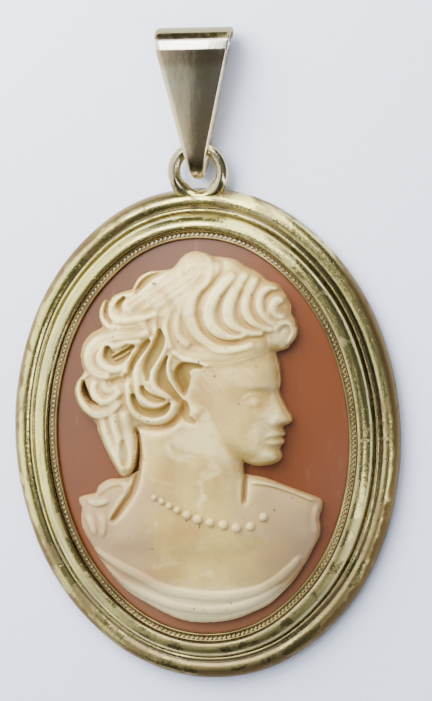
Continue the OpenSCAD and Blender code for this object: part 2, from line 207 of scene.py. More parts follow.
def gilt():
    """Worn gilding over brass: pale gold, olive and brown where it is tarnished. The brown down the outer
    flank is partly painted contact shade, and a painted highlight keeps the upper right lighter.
    """
    paint = Finish("gilt_metal", Metallic=1.0)
    across, along = paint.attribute("across"), paint.attribute("along")
    x, y = paint.axis("X"), paint.axis("Y")
    cloud = paint.noise(210, 4.0, 0.6)
    patches = paint.noise(410, 3.0, 0.55, distortion=0.6)
    specks = paint.noise(3300, 1.0, 0.5).between(0.68, 0.75)
    streaks = paint.lines(across * 5.0, along * 34.0, 2.6, 4.0, 0.6)
    # Olive streaks, the flank's brown and roughness grow towards the lower right.
    toward_lower_right = (x * 34.0 - y * 12.0 + cloud * 0.7).between(0.0, 0.85)
    low = (y * -60.0 - 0.75 + cloud * 0.5).between(0.0, 0.7)
    # Painted highlight: the upper right is kept lighter, with less brown on the flank and fewer dark patches
    # there.
    upper_right_highlight = (x + cloud * 0.002).between(0.002, 0.005) * y.between(0.006, 0.009)
    wear_and_highlight = (patches * 0.75 + streaks * 0.25 + low * 0.1).between(0.53, 0.6)
    # The outer flank's brown is partly tarnish and partly painted contact shade.
    flank_tarnish_and_shade = (0.66 - across - upper_right_highlight * 0.45 + (patches - 0.5) * 1.1).between(0.0, 0.25)
    groove_dark = sum(abs(across - middle).between(end, full) for middle, end, full in GROOVES)
    paint.coats((0.90, 0.79, 0.25), ((0.74, 0.66, 0.26), cloud.between(0.4, 0.65)),
                # olive streaks, worn patches and the duller lower end
                ((0.40, 0.34, 0.14), (streaks + toward_lower_right * 0.22).between(0.5, 0.68) * 0.75),
                ((0.34, 0.24, 0.10), wear_and_highlight * (across - 1.9).between(0.3, -0.3) * (0.8 - upper_right_highlight * 0.6)),
                ((0.34, 0.27, 0.12), low * 0.45),
                # brown down the outer flank, tarnish with painted contact shade, the paler loop, the darker
                # grooves and specks
                ((0.22, 0.14, 0.05), flank_tarnish_and_shade * 0.9),
                ((0.12, 0.08, 0.03), flank_tarnish_and_shade * toward_lower_right * 0.7),
                ((0.50, 0.45, 0.29), y.between(0.0135, 0.0143) * 0.8),
                ((0.19, 0.155, 0.10), groove_dark * 0.9),
                ((0.13, 0.08, 0.035), specks * 0.55))
    paint.feed("Roughness", 0.15 + wear_and_highlight * 0.16 + flank_tarnish_and_shade * 0.25 + toward_lower_right * 0.06)
    waves, pits = paint.noise(520, 2.0, 0.5), paint.noise(3400, 2.0, 0.5)
    paint.bump(waves * 0.6 + streaks * 0.25 + pits * 0.3 - specks * 0.15, 0.42, 0.00012)
    return paint.material


def make_tree(name, inputs):
    """An empty Geometry Nodes tree with the named inputs, beside the geometry and its finish."""
    group = bpy.data.node_groups.new(name, "GeometryNodeTree")
    for label, kind in {"Geometry": "Geometry", **inputs, "Finish": "Material"}.items():
        group.interface.new_socket(label, in_out="INPUT", socket_type="NodeSocket" + kind)
    group.interface.new_socket("Geometry", in_out="OUTPUT", socket_type="NodeSocketGeometry")
    tree = Tree(group)
    tree.given = tree.node("NodeGroupInput")
    return tree


def end_tree(tree, geometry):
    """Ends a tree in a real, smooth mesh with the given finish."""
    geometry = tree.node("GeometryNodeSetShadeSmooth", {}, {"Geometry": geometry})
    geometry = tree.node("GeometryNodeRealizeInstances", {}, (geometry,))
    geometry = tree.node("GeometryNodeSetMaterial", {}, {"Geometry": geometry,
                                                         "Material": tree.given["Finish"]})
    tree.node("NodeGroupOutput", {}, (geometry,))
    return tree


def made_by(tree, start, name, values):
    """Runs the tree on an object and returns its result as a plain mesh object."""
    modifier = start.modifiers.new("make", "NODES")
    modifier.node_group = tree.tree
    for item in tree.tree.interface.items_tree:
        if item.in_out == "INPUT" and item.name in values:
            modifier[item.identifier] = values[item.name]
    bpy.context.view_layer.update()
    deps = bpy.context.evaluated_depsgraph_get()
    mesh = bpy.data.meshes.new_from_object(start.evaluated_get(deps), preserve_all_data_layers=True,
                                           depsgraph=deps)
    mesh.name = name
    start.modifiers.remove(modifier)
    bpy.data.objects.remove(start)
    return put(name, mesh)


# The band's section as (distance in from the edge, height), once round it
BAND_SECTION = (
    [(1.45, 0.0)] + arc_points(0.75, 0.75, 0.75, 268, 184, 9) + arc_points(1.0, 0.75, 1.0, 178, 62, 20)
    + [(1.54, 1.58), (1.6, 1.62)] + arc_points(1.81, 1.7, 0.24, 170, 15, 9) + [(2.06, 1.8)]
    + arc_points(3.05, 1.95, 1.0, 176, 74, 18) + [(3.36, 2.86), (3.42, 2.78), (3.42, 2.4), (3.42, 0.8)]
    + [(4.45, 0.8), (4.45, 0.4), (2.97, 0.4), (2.97, 2.2), (2.7, 2.4), (2.4, 2.15), (2.2, 1.55), (1.4, 1.3),
       (1.0, 1.33), (0.7, 1.2), (0.5, 0.95), (0.45, 0.65), (0.62, 0.38), (1.45, 0.35)])


def band_tree():
    """Draws the section along the oval, keeps where each point lies, and dents the sheet a little."""
    tree = make_tree("stamped_band", {"Section": "Object", "Dents": "Float"})

    def keep(line, name, value):
        return tree.node("GeometryNodeStoreNamedAttribute", {"data_type": "FLOAT", "domain": "POINT"},
                         {"Geometry": line, "Name": name, "Value": value})

    path = tree.node("GeometryNodeMeshToCurve", {}, (tree.given["Geometry"],))
    path = tree.node("GeometryNodeSetCurveNormal", {"mode": "Z_UP"}, {"Curve": path})
    path = keep(path, "along", tree.node("GeometryNodeSplineParameter")["Factor"])
    section = tree.node("GeometryNodeObjectInfo", {}, {"Object": tree.given["Section"]})["Geometry"]
    section = tree.node("GeometryNodeMeshToCurve", {}, (section,))
    outward = tree.node("ShaderNodeSeparateXYZ", {}, (tree.node("GeometryNodeInputPosition"),))["X"]
    section = keep(section, "across", outward * (-1 / MM))
    band = tree.node("GeometryNodeCurveToMesh", {}, {"Curve": path, "Profile Curve": section})
    lumps = tree.node("ShaderNodeTexNoise", {}, {"Scale": 260.0, "Detail": 1.0})
    push = tree.node("ShaderNodeVectorMath", {"operation": "SCALE"},
                     {0: tree.node("GeometryNodeInputNormal"), "Scale": (lumps - 0.5) * tree.given["Dents"]})
    return end_tree(tree, tree.node("GeometryNodeSetPosition", {}, {"Geometry": band, "Offset": push}))


gilt_metal = gilt()
section_line = closed_line("band_section", [(-u, -z, 0.0) for u, z in BAND_SECTION[::-1]])
oval_path = closed_line("band_path", [(x, y, 0.0) for x, y in oval_line(0.0, BAND_STATIONS)])
band = made_by(band_tree(), oval_path, "frame_band", {"Section": section_line, "Dents": BAND_DENTS * MM,
                                                      "Finish": gilt_metal})
bpy.data.objects.remove(section_line)
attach(band, "pendant")
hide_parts("frame")


# ---- Loop: round wire bent to a ring and sunk a little into the band's top, where solder fills the two
# corners between them.
LOOP_MIDDLE_Y, LOOP_Z, LOOP_R, LOOP_WIRE_R, LOOP_SUNK = 15.63, 1.48, 2.08, 0.54, 0.34
FOOT_TURNS, FOOT_SPREAD, FOOT_SWELL = (-44.0, 224.0), 17.0, 0.22


def round_turn(steps):
    """Angles once round, in even steps."""
    return np.linspace(0, 2 * math.pi, steps, endpoint=False)


def ring_faces(rings, sides, closed=False, first=0):
    """The quads between rings of points that follow one another."""
    faces = []
    for i in range(rings if closed else rings - 1):
        step = ((i + 1) % rings - i) * sides
        for k in range(sides):
            a, b = first + i * sides + k, first + i * sides + (k + 1) % sides
            faces.append((a, a + step, b + step, b))
    return faces


def eased(d):
    """0 up to 0, 1 from 1 on, and smooth between them."""
    d = np.clip(d, 0, 1)
    return d * d * (3 - 2 * d)


def loop_mesh():
    """The ring as a closed tube, thicker at its two solder feet and sunk between them."""
    stations, sides = 96, 20
    points = []
    for degrees in np.linspace(-90, 270, stations, endpoint=False):
        turn = math.radians(degrees)
        foot = sum(math.exp(-((degrees - t) / FOOT_SPREAD) ** 2) for t in FOOT_TURNS)
        sunk = LOOP_SUNK * eased((-0.2 - math.sin(turn)) / 0.8)
        for a in round_turn(sides):
            r = LOOP_R + LOOP_WIRE_R * (1 + FOOT_SWELL * foot) * math.cos(a)
            points.append((r * math.cos(turn), LOOP_MIDDLE_Y + r * math.sin(turn),
                           LOOP_Z - sunk + LOOP_WIRE_R * math.sin(a)))
    return points, ring_faces(stations, sides, closed=True)


loop = mesh_piece("frame_loop", *loop_mesh(), gilt_metal)
mark(loop, across=1.1, along=np.arange(len(loop.data.vertices)) / 9000.0)
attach(loop, "pendant")
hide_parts("frame")


# ---- Shell ground: the deeper, orange layer of the shell, ground smooth to a low dome and hollow
# underneath. It drops into the frame's wall and rests on the ledge.
SHELL_HALF_W, SHELL_HALF_H, SHELL_EDGE_Z, SHELL_BASE_Z, SHELL_TOP_Z = 13.25, 17.45, 2.05, 0.85, 4.1
HOLLOW_IN, HOLLOW_RISE = 1.3, 1.3
DOME_R = 43.84512
DOME_MIDDLE_Z = SHELL_TOP_Z - DOME_R
SHELL_RATIO = SHELL_HALF_H / SHELL_HALF_W


def ground_z(x, y):
    """Height of the domed ground at a place on the cameo, in mm."""
    return DOME_MIDDLE_Z + np.sqrt(DOME_R ** 2 - x ** 2 - (y / SHELL_RATIO) ** 2)


def fan(tip, first, sides, flip=False):
    """Triangles from a tip to a ring of points."""
    pairs = [(first + k, first + (k + 1) % sides) for k in range(sides)]
    return [(tip, b, a) if flip else (tip, a, b) for a, b in pairs]


def shell_mesh():
    """Rings round the oval, from the middle of the dome over the edge to the middle of the hollow."""
    hollow_w = SHELL_HALF_W - HOLLOW_IN
    hollow_r = (hollow_w ** 2 + HOLLOW_RISE ** 2) / (2 * HOLLOW_RISE)
    hollow_middle_z = SHELL_BASE_Z + HOLLOW_RISE - hollow_r
    rows = [(r, float(ground_z(r, 0.0))) for r in SHELL_HALF_W * np.arange(1, 30) / 30]
    rows += [(SHELL_HALF_W - 0.05, SHELL_EDGE_Z), (SHELL_HALF_W, SHELL_EDGE_Z - 0.05),
             (SHELL_HALF_W, SHELL_BASE_Z + 0.04), (SHELL_HALF_W - 0.04, SHELL_BASE_Z)]
    rows += [(r, hollow_middle_z + math.sqrt(hollow_r ** 2 - r ** 2))
             for r in hollow_w * np.arange(12, 0, -1) / 12]
    sides = 160
    points = [(0.0, OVAL_MIDDLE_Y, SHELL_TOP_Z)]
    points += [(r * math.cos(a), OVAL_MIDDLE_Y + SHELL_RATIO * r * math.sin(a), z)
               for r, z in rows for a in round_turn(sides)]
    points.append((0.0, OVAL_MIDDLE_Y, SHELL_BASE_Z + HOLLOW_RISE))
    last = len(points) - 1
    faces = fan(0, 1, sides) + ring_faces(len(rows), sides, first=1)
    return points, faces + fan(last, last - sides, sides, flip=True)


def orange_shell():
    """Polished shell: warm orange to the right, pinker and greyer towards the left and the top, which is
    partly its own tone and partly a painted sheen.
    """
    paint = Finish("orange_shell", Roughness=0.36, IOR=1.42, Subsurface_Weight=0.15,
                   Subsurface_Radius=(0.0016, 0.0008, 0.0004))
    cloud = paint.noise(160, 4.0, 0.55)
    grain = paint.noise(1900, 2.0, 0.5, stretch=(1.0, 0.25, 1.0))
    x, y = paint.axis("X"), paint.axis("Y")
    # Pinker and greyer towards the upper left: partly the shell's tone, partly a painted sheen.
    pinker = (y * 38.0 - x * 55.0 + cloud * 0.9).between(0.1, 1.2)
    low = (cloud * 0.004 - y - 0.016).between(0.0, 0.008)
    paint.coats((0.13, 0.037, 0.0105), ((0.085, 0.037, 0.018), pinker), ((0.19, 0.085, 0.045), low * 0.8),
                ((0.30, 0.13, 0.06), grain.between(0.6, 0.8) * 0.15))
    paint.bump(grain, 0.12, 0.00003)
    return paint.material


shell = mesh_piece("shell_ground", *shell_mesh(), orange_shell())
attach(shell, "pendant")
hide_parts("cameo_ground")


# ---- Cameo figure: the shell's pale outer layer, carved by hand into a lady's head and shoulders. It is
# one piece with the ground; where the carver cut deepest the layer is thin and looks olive or pink.
NET = 0.075
NET_X, NET_Y = np.meshgrid(np.arange(-11.4, 10.9, NET), np.arange(-16.4, 16.15, NET))
# Depth of the strands along a lock, width of a hollow's wall, and how far the rim sinks into the ground
STRAND_DEPTH, HOLLOW_WALL, FOOT_SUNK = 0.055, 0.13, 0.03

# The hair, neck and dress are drawn as they look from a little to one side. These are the drawing's axes
# and origin on the shell, how far a place moves for each mm of its height, and each table's height
DRAWN_X, DRAWN_Y = (1.0075, 0.0557), (-0.03, 0.991)
DRAWN_ORIGIN, DRAWN_LEAN = (-0.54, -0.38), (0.2555, 0.1605)
BUST_LIFT, NECK_LIFT, HAIR_LIFT, LOCK_LIFT, FOLD_LIFT, NECKLACE_LIFT = 0.5, 1.0, 0.9, 1.55, 0.9, 1.3

# Outlines of the bust, the neck and the hair
BUST = [(-6.9, -3.2), (-8.3, -3.3), (-9.2, -3.8), (-9.5, -4.4), (-10.9, -4.7), (-11, -5.2), (-10.8, -5.7),
        (-10.9, -6.3), (-10.9, -7.2), (-10.6, -8), (-10.1, -8.9), (-9.6, -9.9), (-8.9, -11), (-8.1, -12.1),
        (-7, -13.2), (-5.5, -14.2), (-4, -15.1), (-2.5, -15.75), (-1, -16), (0.5, -16), (2, -15.8),
        (3.5, -15.3), (5, -14.6), (6.2, -13.6), (7.2, -12.6), (8.2, -11.2), (8.9, -10), (9.45, -9),
        (9.6, -8.2), (9.5, -7.5), (9.75, -6.7), (9.8, -6), (9.3, -5.65), (8, -5.1), (6.5, -4.45), (5, -3.8),
        (3.7, -3.5), (2.6, -3.2), (0, -2), (-4, -2)]
NECK = [(-5.8, 2.5), (-5.8, 0.9), (-5.7, 0), (-5.7, -1.5), (-5.9, -2.9), (-6.3, -4.2), (-7, -5.3),
        (-7.8, -6.3), (-8.4, -7.2), (-8.8, -9), (-6, -10.4), (0, -11.2), (4.5, -10.2), (6, -8.2),
        (4.6, -6.9), (3.15, -5.9), (3.1, -4.6), (3.15, -3.4), (3.2, -2.4), (4.6, -1.6), (4.9, 2), (3, 6.5),
        (-2, 8)]
HAIR = [(7.25, 7), (7.6, 7.3), (8.05, 7.8), (8.3, 8.5), (8.25, 9.3), (7.95, 10), (7.95, 10.8), (7.3, 12.1),
        (6.8, 12.6), (6.1, 12.9), (5.6, 13.4), (5, 13.85), (4.3, 14.2), (3.5, 14.8), (2.5, 15.1),
        (1.5, 15.25), (1, 15.5), (0.3, 15.75), (-0.5, 15.7), (-1.2, 15.2), (-1.9, 14.45), (-3, 14.3),
        (-4, 14.25), (-4.9, 13.8), (-5.45, 12.9), (-6.1, 12.75), (-7, 12.45), (-7.5, 11.9), (-7.9, 12.1),
        (-8.4, 11.2), (-8.35, 10.3), (-8.2, 9.8), (-9.2, 9.3), (-9.9, 8.5), (-10.2, 7.5), (-10.1, 6.5),
        (-10, 5.95), (-10.6, 5.3), (-10.85, 4.6), (-10.8, 3.7), (-10.4, 2.8), (-9.7, 2.1), (-9.15, 1.5),
        (-9.1, 1), (-8.75, 0), (-8.25, -1.2), (-7.8, -2.2), (-7.4, -2.9), (-6.9, -3.25), (-6.4, -2.9),
        (-6.05, -2.2), (-5.8, -1), (-5.75, 0), (-5.7, 0.9), (-4.6, 0.95), (-3.4, 0.85), (-2.3, 1.2),
        (-1.5, 1.9), (-1.1, 2.6), (-1.3, 3.4), (-0.9, 4.4), (0.1, 5.75), (1.4, 5.8), (2.6, 5.95), (4, 6.3),
        (5.6, 6.7)]
# The face is a plain classical one: equal thirds from the hairline to the brow, the nose and the chin.
# Each row: thirds below the hairline, distance in front of the face line
HAIRLINE, FACE_THIRD, FACE_LINE = 7.7, 9.7 / 3, 7.0
FACE_PROFILE = [(0, -0.25), (0.45, 0.08), (0.9, 0.16), (1.12, 0.02), (1.45, 0.45), (1.75, 0.98), (1.86, 1.08),
                (1.95, 0.85), (2.03, 0.3), (2.22, 0.48), (2.3, 0.24), (2.38, 0.4), (2.46, 0.36), (2.57, 0.02),
                (2.7, 0.12), (2.82, 0.16), (2.93, -0.08), (3, -0.7)]
FACE = ([(4.5, 9.6), (7.1, 9.2)]
        + [(FACE_LINE + ahead, HAIRLINE - t * FACE_THIRD) for t, ahead in FACE_PROFILE]
        + [(5.1, -2.1), (3.9, -1.65), (2.7, -0.7), (1.6, 0.5), (0.7, 1.9), (-0.1, 3.0), (-1.1, 5.1),
           (-1.5, 8.1)])

# Locks of hair as they overlap: lift, crown, strands, then (x, y, half width) along each
LOCKS = [
    (0.04, 0.22, 3, [(-1.3, 13.3, 0.3), (-1.3, 14.2, 0.45), (-0.85, 15, 0.5), (0, 15.25, 0.5),
     (0.8, 15, 0.5), (1.2, 14.2, 0.5), (1, 13.3, 0.5), (0.2, 12.5, 0.5), (-0.8, 11.8, 0.5), (-2, 11, 0.45),
     (-3.2, 10.3, 0.4)]),
    (0.02, 0.22, 2, [(-0.75, 13.7, 0.25), (-0.6, 14.5, 0.3), (0, 14.7, 0.32), (0.5, 14.4, 0.32),
     (0.45, 13.8, 0.35), (-0.1, 13.2, 0.4), (-1, 12.6, 0.42), (-2.2, 11.9, 0.42), (-3.7, 11, 0.4)]),
    (0, 0.22, 2, [(-0.1, 14.1, 0.2), (-0.1, 13.8, 0.3), (-0.8, 13.3, 0.38), (-1.9, 12.7, 0.42),
     (-3.4, 11.8, 0.42), (-4.8, 11, 0.35)]),
    (0, 0.24, 2, [(-1.5, 13.9, 0.35), (-2.6, 13.2, 0.45), (-3.9, 12.4, 0.45), (-5.2, 11.6, 0.4),
     (-6.2, 10.9, 0.3)]),
    (0, 0.24, 2, [(-1.6, 14.4, 0.3), (-2.8, 13.8, 0.4), (-4, 13, 0.42), (-5.1, 12.3, 0.38),
     (-5.9, 11.6, 0.3)]),
    (0.08, 0.34, 2, [(-5.2, 12.3, 0.25), (-6.1, 12.45, 0.3), (-6.95, 12.1, 0.34), (-7.45, 11.4, 0.36),
     (-7.35, 10.7, 0.38), (-6.7, 10.3, 0.38), (-5.6, 10.25, 0.38), (-4.4, 10.4, 0.36), (-3, 10.8, 0.3)]),
    (0, 0.26, 1, [(-5.5, 12, 0.2), (-6, 11.7, 0.25), (-5.9, 11.2, 0.25), (-5.2, 10.9, 0.25)]),
    (0.05, 0.3, 1, [(-7.9, 12, 0.12), (-8.15, 11.2, 0.22), (-8.1, 10.4, 0.3), (-7.5, 9.8, 0.36),
     (-6.4, 9.55, 0.4), (-5.2, 9.55, 0.4), (-4, 9.9, 0.35)]),
    (0.06, 0.38, 3, [(-3.8, 9.2, 0.4), (-5.4, 9, 0.5), (-7, 8.95, 0.62), (-8.4, 8.6, 0.7),
     (-9.25, 7.8, 0.7), (-9.4, 6.9, 0.68), (-9, 6.1, 0.6), (-8.2, 5.7, 0.5), (-7.4, 5.8, 0.35)]),
    (0.02, 0.34, 2, [(-4.6, 8.5, 0.3), (-6.2, 8.35, 0.4), (-7.6, 8.2, 0.45), (-8.4, 7.6, 0.45),
     (-8.5, 6.9, 0.42), (-8, 6.3, 0.4), (-7.1, 6.1, 0.35), (-6.3, 6.3, 0.3)]),
    (0.06, 0.34, 1, [(-9.4, 5.9, 0.25), (-10.1, 5.6, 0.28), (-10.45, 4.8, 0.32), (-10.4, 3.8, 0.35),
     (-10, 2.9, 0.38), (-9.4, 2.35, 0.42), (-8.6, 2.3, 0.42), (-7.6, 2.7, 0.4), (-6.8, 3.5, 0.35)]),
    (0.04, 0.34, 2, [(-8.8, 5.5, 0.4), (-9.15, 4.7, 0.4), (-8.9, 3.9, 0.42), (-8.3, 3.4, 0.42),
     (-7.4, 3.7, 0.42), (-6.6, 4.5, 0.35)]),
    (0, 0.3, 1, [(-8.1, 5.4, 0.35), (-8.2, 4.7, 0.38), (-7.6, 4.3, 0.38), (-6.8, 4.6, 0.35)]),
    (0, 0.3, 1, [(-5.2, 8.6, 0.3), (-5.8, 7.6, 0.32), (-6.1, 6.6, 0.36), (-6.2, 5.6, 0.36),
     (-6.5, 4.8, 0.3)]),
    (0.03, 0.3, 2, [(-8.7, 2.2, 0.4), (-8.4, 0.8, 0.5), (-7.95, -0.6, 0.45), (-7.45, -1.9, 0.36),
     (-7, -2.9, 0.2)]),
    (0.03, 0.3, 2, [(-7.6, 2.6, 0.45), (-7.5, 1.2, 0.45), (-7.15, -0.2, 0.4), (-7, -1.4, 0.3),
     (-6.9, -2.4, 0.2)]),
    (0.03, 0.3, 2, [(-6.6, 2.6, 0.45), (-6.45, 0.8, 0.42), (-6.25, -0.6, 0.38), (-6.3, -1.8, 0.3),
     (-6.7, -2.8, 0.2)]),
    (0, 0.26, 2, [(-0.9, 11.6, 0.35), (-1.5, 10.6, 0.4), (-1.7, 9.5, 0.42), (-1.4, 8.4, 0.4),
     (-0.6, 7.6, 0.35)]),
    (0, 0.26, 2, [(-2, 11.2, 0.35), (-2.5, 10.2, 0.4), (-2.65, 9.2, 0.38), (-2.5, 8.2, 0.32),
     (-2.1, 7.4, 0.25)]),
    (0, 0.24, 2, [(-3.2, 10.9, 0.3), (-3.6, 10, 0.35), (-3.5, 9.2, 0.3), (-3.2, 8.6, 0.2)]),
    (0.02, 0.32, 3, [(1.4, 14.4, 0.3), (1.05, 13.2, 0.42), (0.1, 12.3, 0.5), (-0.45, 11.3, 0.55),
     (-0.5, 10.1, 0.55), (-0.05, 8.8, 0.52), (0.95, 7.8, 0.5), (2.2, 7.3, 0.45), (3.6, 7.35, 0.38),
     (4.9, 7.7, 0.25)]),
    (0.1, 0.4, 3, [(3.5, 13.7, 0.35), (2.6, 12.9, 0.5), (1.8, 12, 0.52), (1.25, 11, 0.55),
     (1.15, 9.95, 0.55), (1.5, 9.1, 0.5), (2.35, 8.5, 0.45), (3.5, 8.35, 0.38), (4.6, 8.7, 0.2)]),
    (0.06, 0.36, 3, [(4.4, 13.8, 0.3), (3.8, 12.8, 0.46), (3.1, 11.7, 0.52), (2.75, 10.6, 0.54),
     (2.9, 9.6, 0.5), (3.6, 8.9, 0.45), (4.7, 8.55, 0.36), (5.8, 8.5, 0.2)]),
    (0.03, 0.34, 3, [(5.2, 13.4, 0.3), (4.7, 12.4, 0.45), (4.3, 11.3, 0.5), (4.35, 10.3, 0.5),
     (4.9, 9.4, 0.46), (5.8, 8.9, 0.38), (6.6, 8.7, 0.2)]),
    (0.08, 0.36, 2, [(7.1, 12.05, 0.2), (6.45, 12.4, 0.33), (5.75, 12.1, 0.4), (5.35, 11.2, 0.42),
     (5.55, 10.2, 0.42), (6.15, 9.5, 0.4), (6.9, 9.2, 0.3)]),
    (0.03, 0.34, 2, [(7.6, 11.1, 0.3), (6.95, 11.2, 0.4), (6.5, 10.8, 0.4), (6.45, 10.2, 0.4),
     (6.9, 9.8, 0.36), (7.6, 9.75, 0.25)]),
    (0.06, 0.3, 1, [(6.4, 8.5, 0.3), (6.85, 9.15, 0.28), (7.55, 9.3, 0.26), (8, 8.85, 0.24), (8, 8.2, 0.24),
     (7.7, 7.65, 0.2), (7.35, 7.3, 0.12)]),
]
# Locks by the ear and over the forehead, in place on the shell
NEAR_LOCKS = [
    (0.05, 0.3, 2, [(-3.3, 8.95, 0.15), (-3.65, 8.1, 0.22), (-4.2, 7.3, 0.26), (-4.55, 6.5, 0.32),
     (-4.72, 5.7, 0.36), (-4.7, 4.9, 0.36), (-4.55, 4.1, 0.32), (-4.2, 3.5, 0.28), (-3.6, 3.15, 0.24),
     (-2.9, 3.05, 0.22), (-2.3, 3.2, 0.15)]),
    (0.05, 0.32, 2, [(-2.1, 8.7, 0.2), (-2.3, 7.8, 0.26), (-2.75, 7, 0.26), (-3.15, 6.3, 0.26),
     (-3.38, 5.5, 0.3), (-3.25, 4.8, 0.32), (-2.8, 4.25, 0.32), (-2.2, 3.95, 0.3), (-1.75, 3.5, 0.24)]),
    (0.06, 0.24, 2, [(-1.85, 7.75, 0.25), (-1, 7.25, 0.28), (-0.1, 6.88, 0.26), (0.8, 6.62, 0.2),
     (1.8, 6.5, 0.1)]),
    (0.1, 0.38, 3, [(-5.55, 5.3, 0.26), (-5.45, 4.2, 0.34), (-5.3, 3.1, 0.36), (-4.8, 2.25, 0.38),
     (-3.9, 1.78, 0.38), (-2.9, 1.75, 0.38), (-2.05, 2.15, 0.38), (-1.62, 2.85, 0.34), (-1.7, 3.5, 0.2)]),
    (0, 0.1, 4, [(-1.35, 7.85, 0.4), (-0.2, 7.5, 0.5), (1.2, 7.35, 0.55), (2.8, 7.35, 0.55),
     (4.35, 7.65, 0.5), (5.9, 8.05, 0.4), (7.35, 8.4, 0.2)]),
    (0, 0.06, 3, [(-0.6, 7.25, 0.2), (0.65, 6.85, 0.36), (2.05, 6.72, 0.4), (3.4, 6.85, 0.4),
     (4.95, 7.25, 0.34), (6.5, 7.75, 0.2)]),
]
# Deep grooves between locks: depth, then (x, y, half width)
CREASES = [
    (0.3, [(1.4, 15.1, 0.2), (2.2, 14.6, 0.3), (2.3, 13.9, 0.3), (1.9, 13.3, 0.26), (1.2, 12.6, 0.24),
     (0.6, 12, 0.24), (0.25, 11, 0.24), (0.3, 10, 0.24), (0.7, 8.9, 0.24), (1.5, 8.15, 0.24),
     (2.6, 7.85, 0.22), (3.9, 8.05, 0.18)]),
    (0.2, [(3.2, 12.9, 0.16), (2.3, 11.6, 0.2), (2, 10.4, 0.2), (2.2, 9.4, 0.2), (3, 8.65, 0.2),
     (4, 8.5, 0.14)]),
    (0.18, [(4.1, 12.4, 0.16), (3.65, 11.1, 0.2), (3.65, 10, 0.2), (4.2, 9.2, 0.2), (5.2, 8.75, 0.14)]),
    (0.3, [(5.9, 11, 0.14), (5.95, 11.6, 0.2), (6.6, 11.85, 0.2), (7.3, 11.8, 0.16)]),
    (0.25, [(6.9, 8.1, 0.14), (7, 8.7, 0.18), (7.5, 8.85, 0.16), (7.75, 8.4, 0.14), (7.5, 7.9, 0.1)]),
]
# Hollows cut down to the thin part of the layer: depth, how thin, then (x, y, half width)
HOLLOWS = [
    (0.35, 0.45, [(-4.95, 12.45, 0.08), (-4.6, 13.0, 0.24), (-4.1, 13.5, 0.26), (-3.4, 13.9, 0.16),
     (-2.9, 14.0, 0.06)]),
    (0.5, 0.8, [(-6.1, 11.95, 0.06), (-6.45, 11.55, 0.15), (-6.5, 11.2, 0.16), (-6.3, 10.85, 0.08)]),
    (0.55, 0.9, [(-7.7, 11.4, 0.1), (-7.72, 10.8, 0.2), (-7.6, 10.35, 0.2), (-7.2, 9.95, 0.1)]),
    (0.6, 1.0, [(-7.4, 7.7, 0.22), (-7.25, 7.2, 0.4), (-6.6, 6.95, 0.48), (-6.0, 7.3, 0.46),
     (-5.5, 7.8, 0.34), (-5.1, 8.0, 0.12)]),
    (0.25, 0.55, [(-6.9, 5.0, 0.12), (-6.4, 5.15, 0.24), (-5.95, 5.2, 0.22), (-5.7, 5.6, 0.1)]),
    (0.55, 0.9, [(-3.7, 8.45, 0.12), (-4.05, 8.05, 0.22), (-4.6, 7.35, 0.22), (-5.0, 6.8, 0.2),
     (-5.3, 6.1, 0.13), (-5.38, 5.5, 0.06)]),
    (0.6, 1.0, [(-2.75, 9.35, 0.08), (-2.68, 8.8, 0.3), (-2.85, 8.1, 0.42), (-3.3, 7.35, 0.48),
     (-3.7, 6.6, 0.42), (-3.88, 6.0, 0.26), (-3.8, 5.3, 0.08)]),
    (0.55, 0.9, [(-2.1, 7.1, 0.08), (-2.42, 6.4, 0.2), (-2.6, 5.7, 0.3), (-2.55, 5.1, 0.42),
     (-2.1, 4.55, 0.34), (-1.6, 4.0, 0.26), (-1.25, 3.5, 0.14)]),
    (0.6, 1.0, [(0.9, 6.4, 0.06), (0.1, 6.45, 0.2), (-0.65, 6.1, 0.56), (-0.8, 5.5, 0.66),
     (-0.75, 4.9, 0.5), (-0.75, 4.35, 0.2)]),
    (0.45, 0.8, [(-1.1, 3.5, 0.1), (-0.78, 3.05, 0.28), (-0.7, 2.55, 0.4), (-0.6, 2.1, 0.26),
     (0.1, 1.7, 0.1)]),
    (0.5, 0.9, [(-4.3, 4.6, 0.08), (-4.15, 4.15, 0.2), (-3.6, 3.78, 0.2), (-3.0, 3.55, 0.2),
     (-2.45, 3.5, 0.08)]),
    (0.5, 0.9, [(-5.12, 3.9, 0.08), (-4.95, 3.2, 0.16), (-4.5, 2.65, 0.26), (-3.75, 2.4, 0.32),
     (-3.0, 2.45, 0.32), (-2.4, 2.75, 0.26), (-2.05, 3.15, 0.1)]),
    (0.08, 0.3, [(-6.2, -0.1, 0.1), (-6.15, -1.15, 0.3), (-6.2, -2.05, 0.12)]),
]
# The one place where the carver pierced the layer, between a lock and the knot: (x, y, half width)
PIERCED = [(-9.8, 4.85, 0.08), (-9.75, 4.3, 0.26), (-9.5, 3.65, 0.34), (-9.1, 3.2, 0.22), (-8.5, 3.0, 0.08)]
# Thin strands that cross the hollows: lift, crown, then (x, y, half width)
STRANDS = [
    (-0.35, 0.3, [(-7.15, 7.1, 0.05), (-6.3, 7.6, 0.1), (-5.6, 8.0, 0.1), (-5.2, 8.2, 0.05)]),
    (-0.45, 0.25, [(-6.8, 6.85, 0.05), (-6.1, 7.2, 0.07), (-5.5, 7.6, 0.06)]),
    (0.05, 0.32, [(-1.75, 7.4, 0.16), (-1.95, 6.5, 0.22), (-1.85, 5.6, 0.22), (-1.6, 4.9, 0.2),
     (-1.25, 4.25, 0.17), (-0.85, 3.7, 0.12), (-0.5, 3.35, 0.06)]),
    (0.0, 0.3, [(-5.3, 12.55, 0.08), (-5.0, 13.1, 0.13), (-4.45, 13.75, 0.14), (-3.7, 14.1, 0.12),
     (-2.9, 14.2, 0.06)]),
]
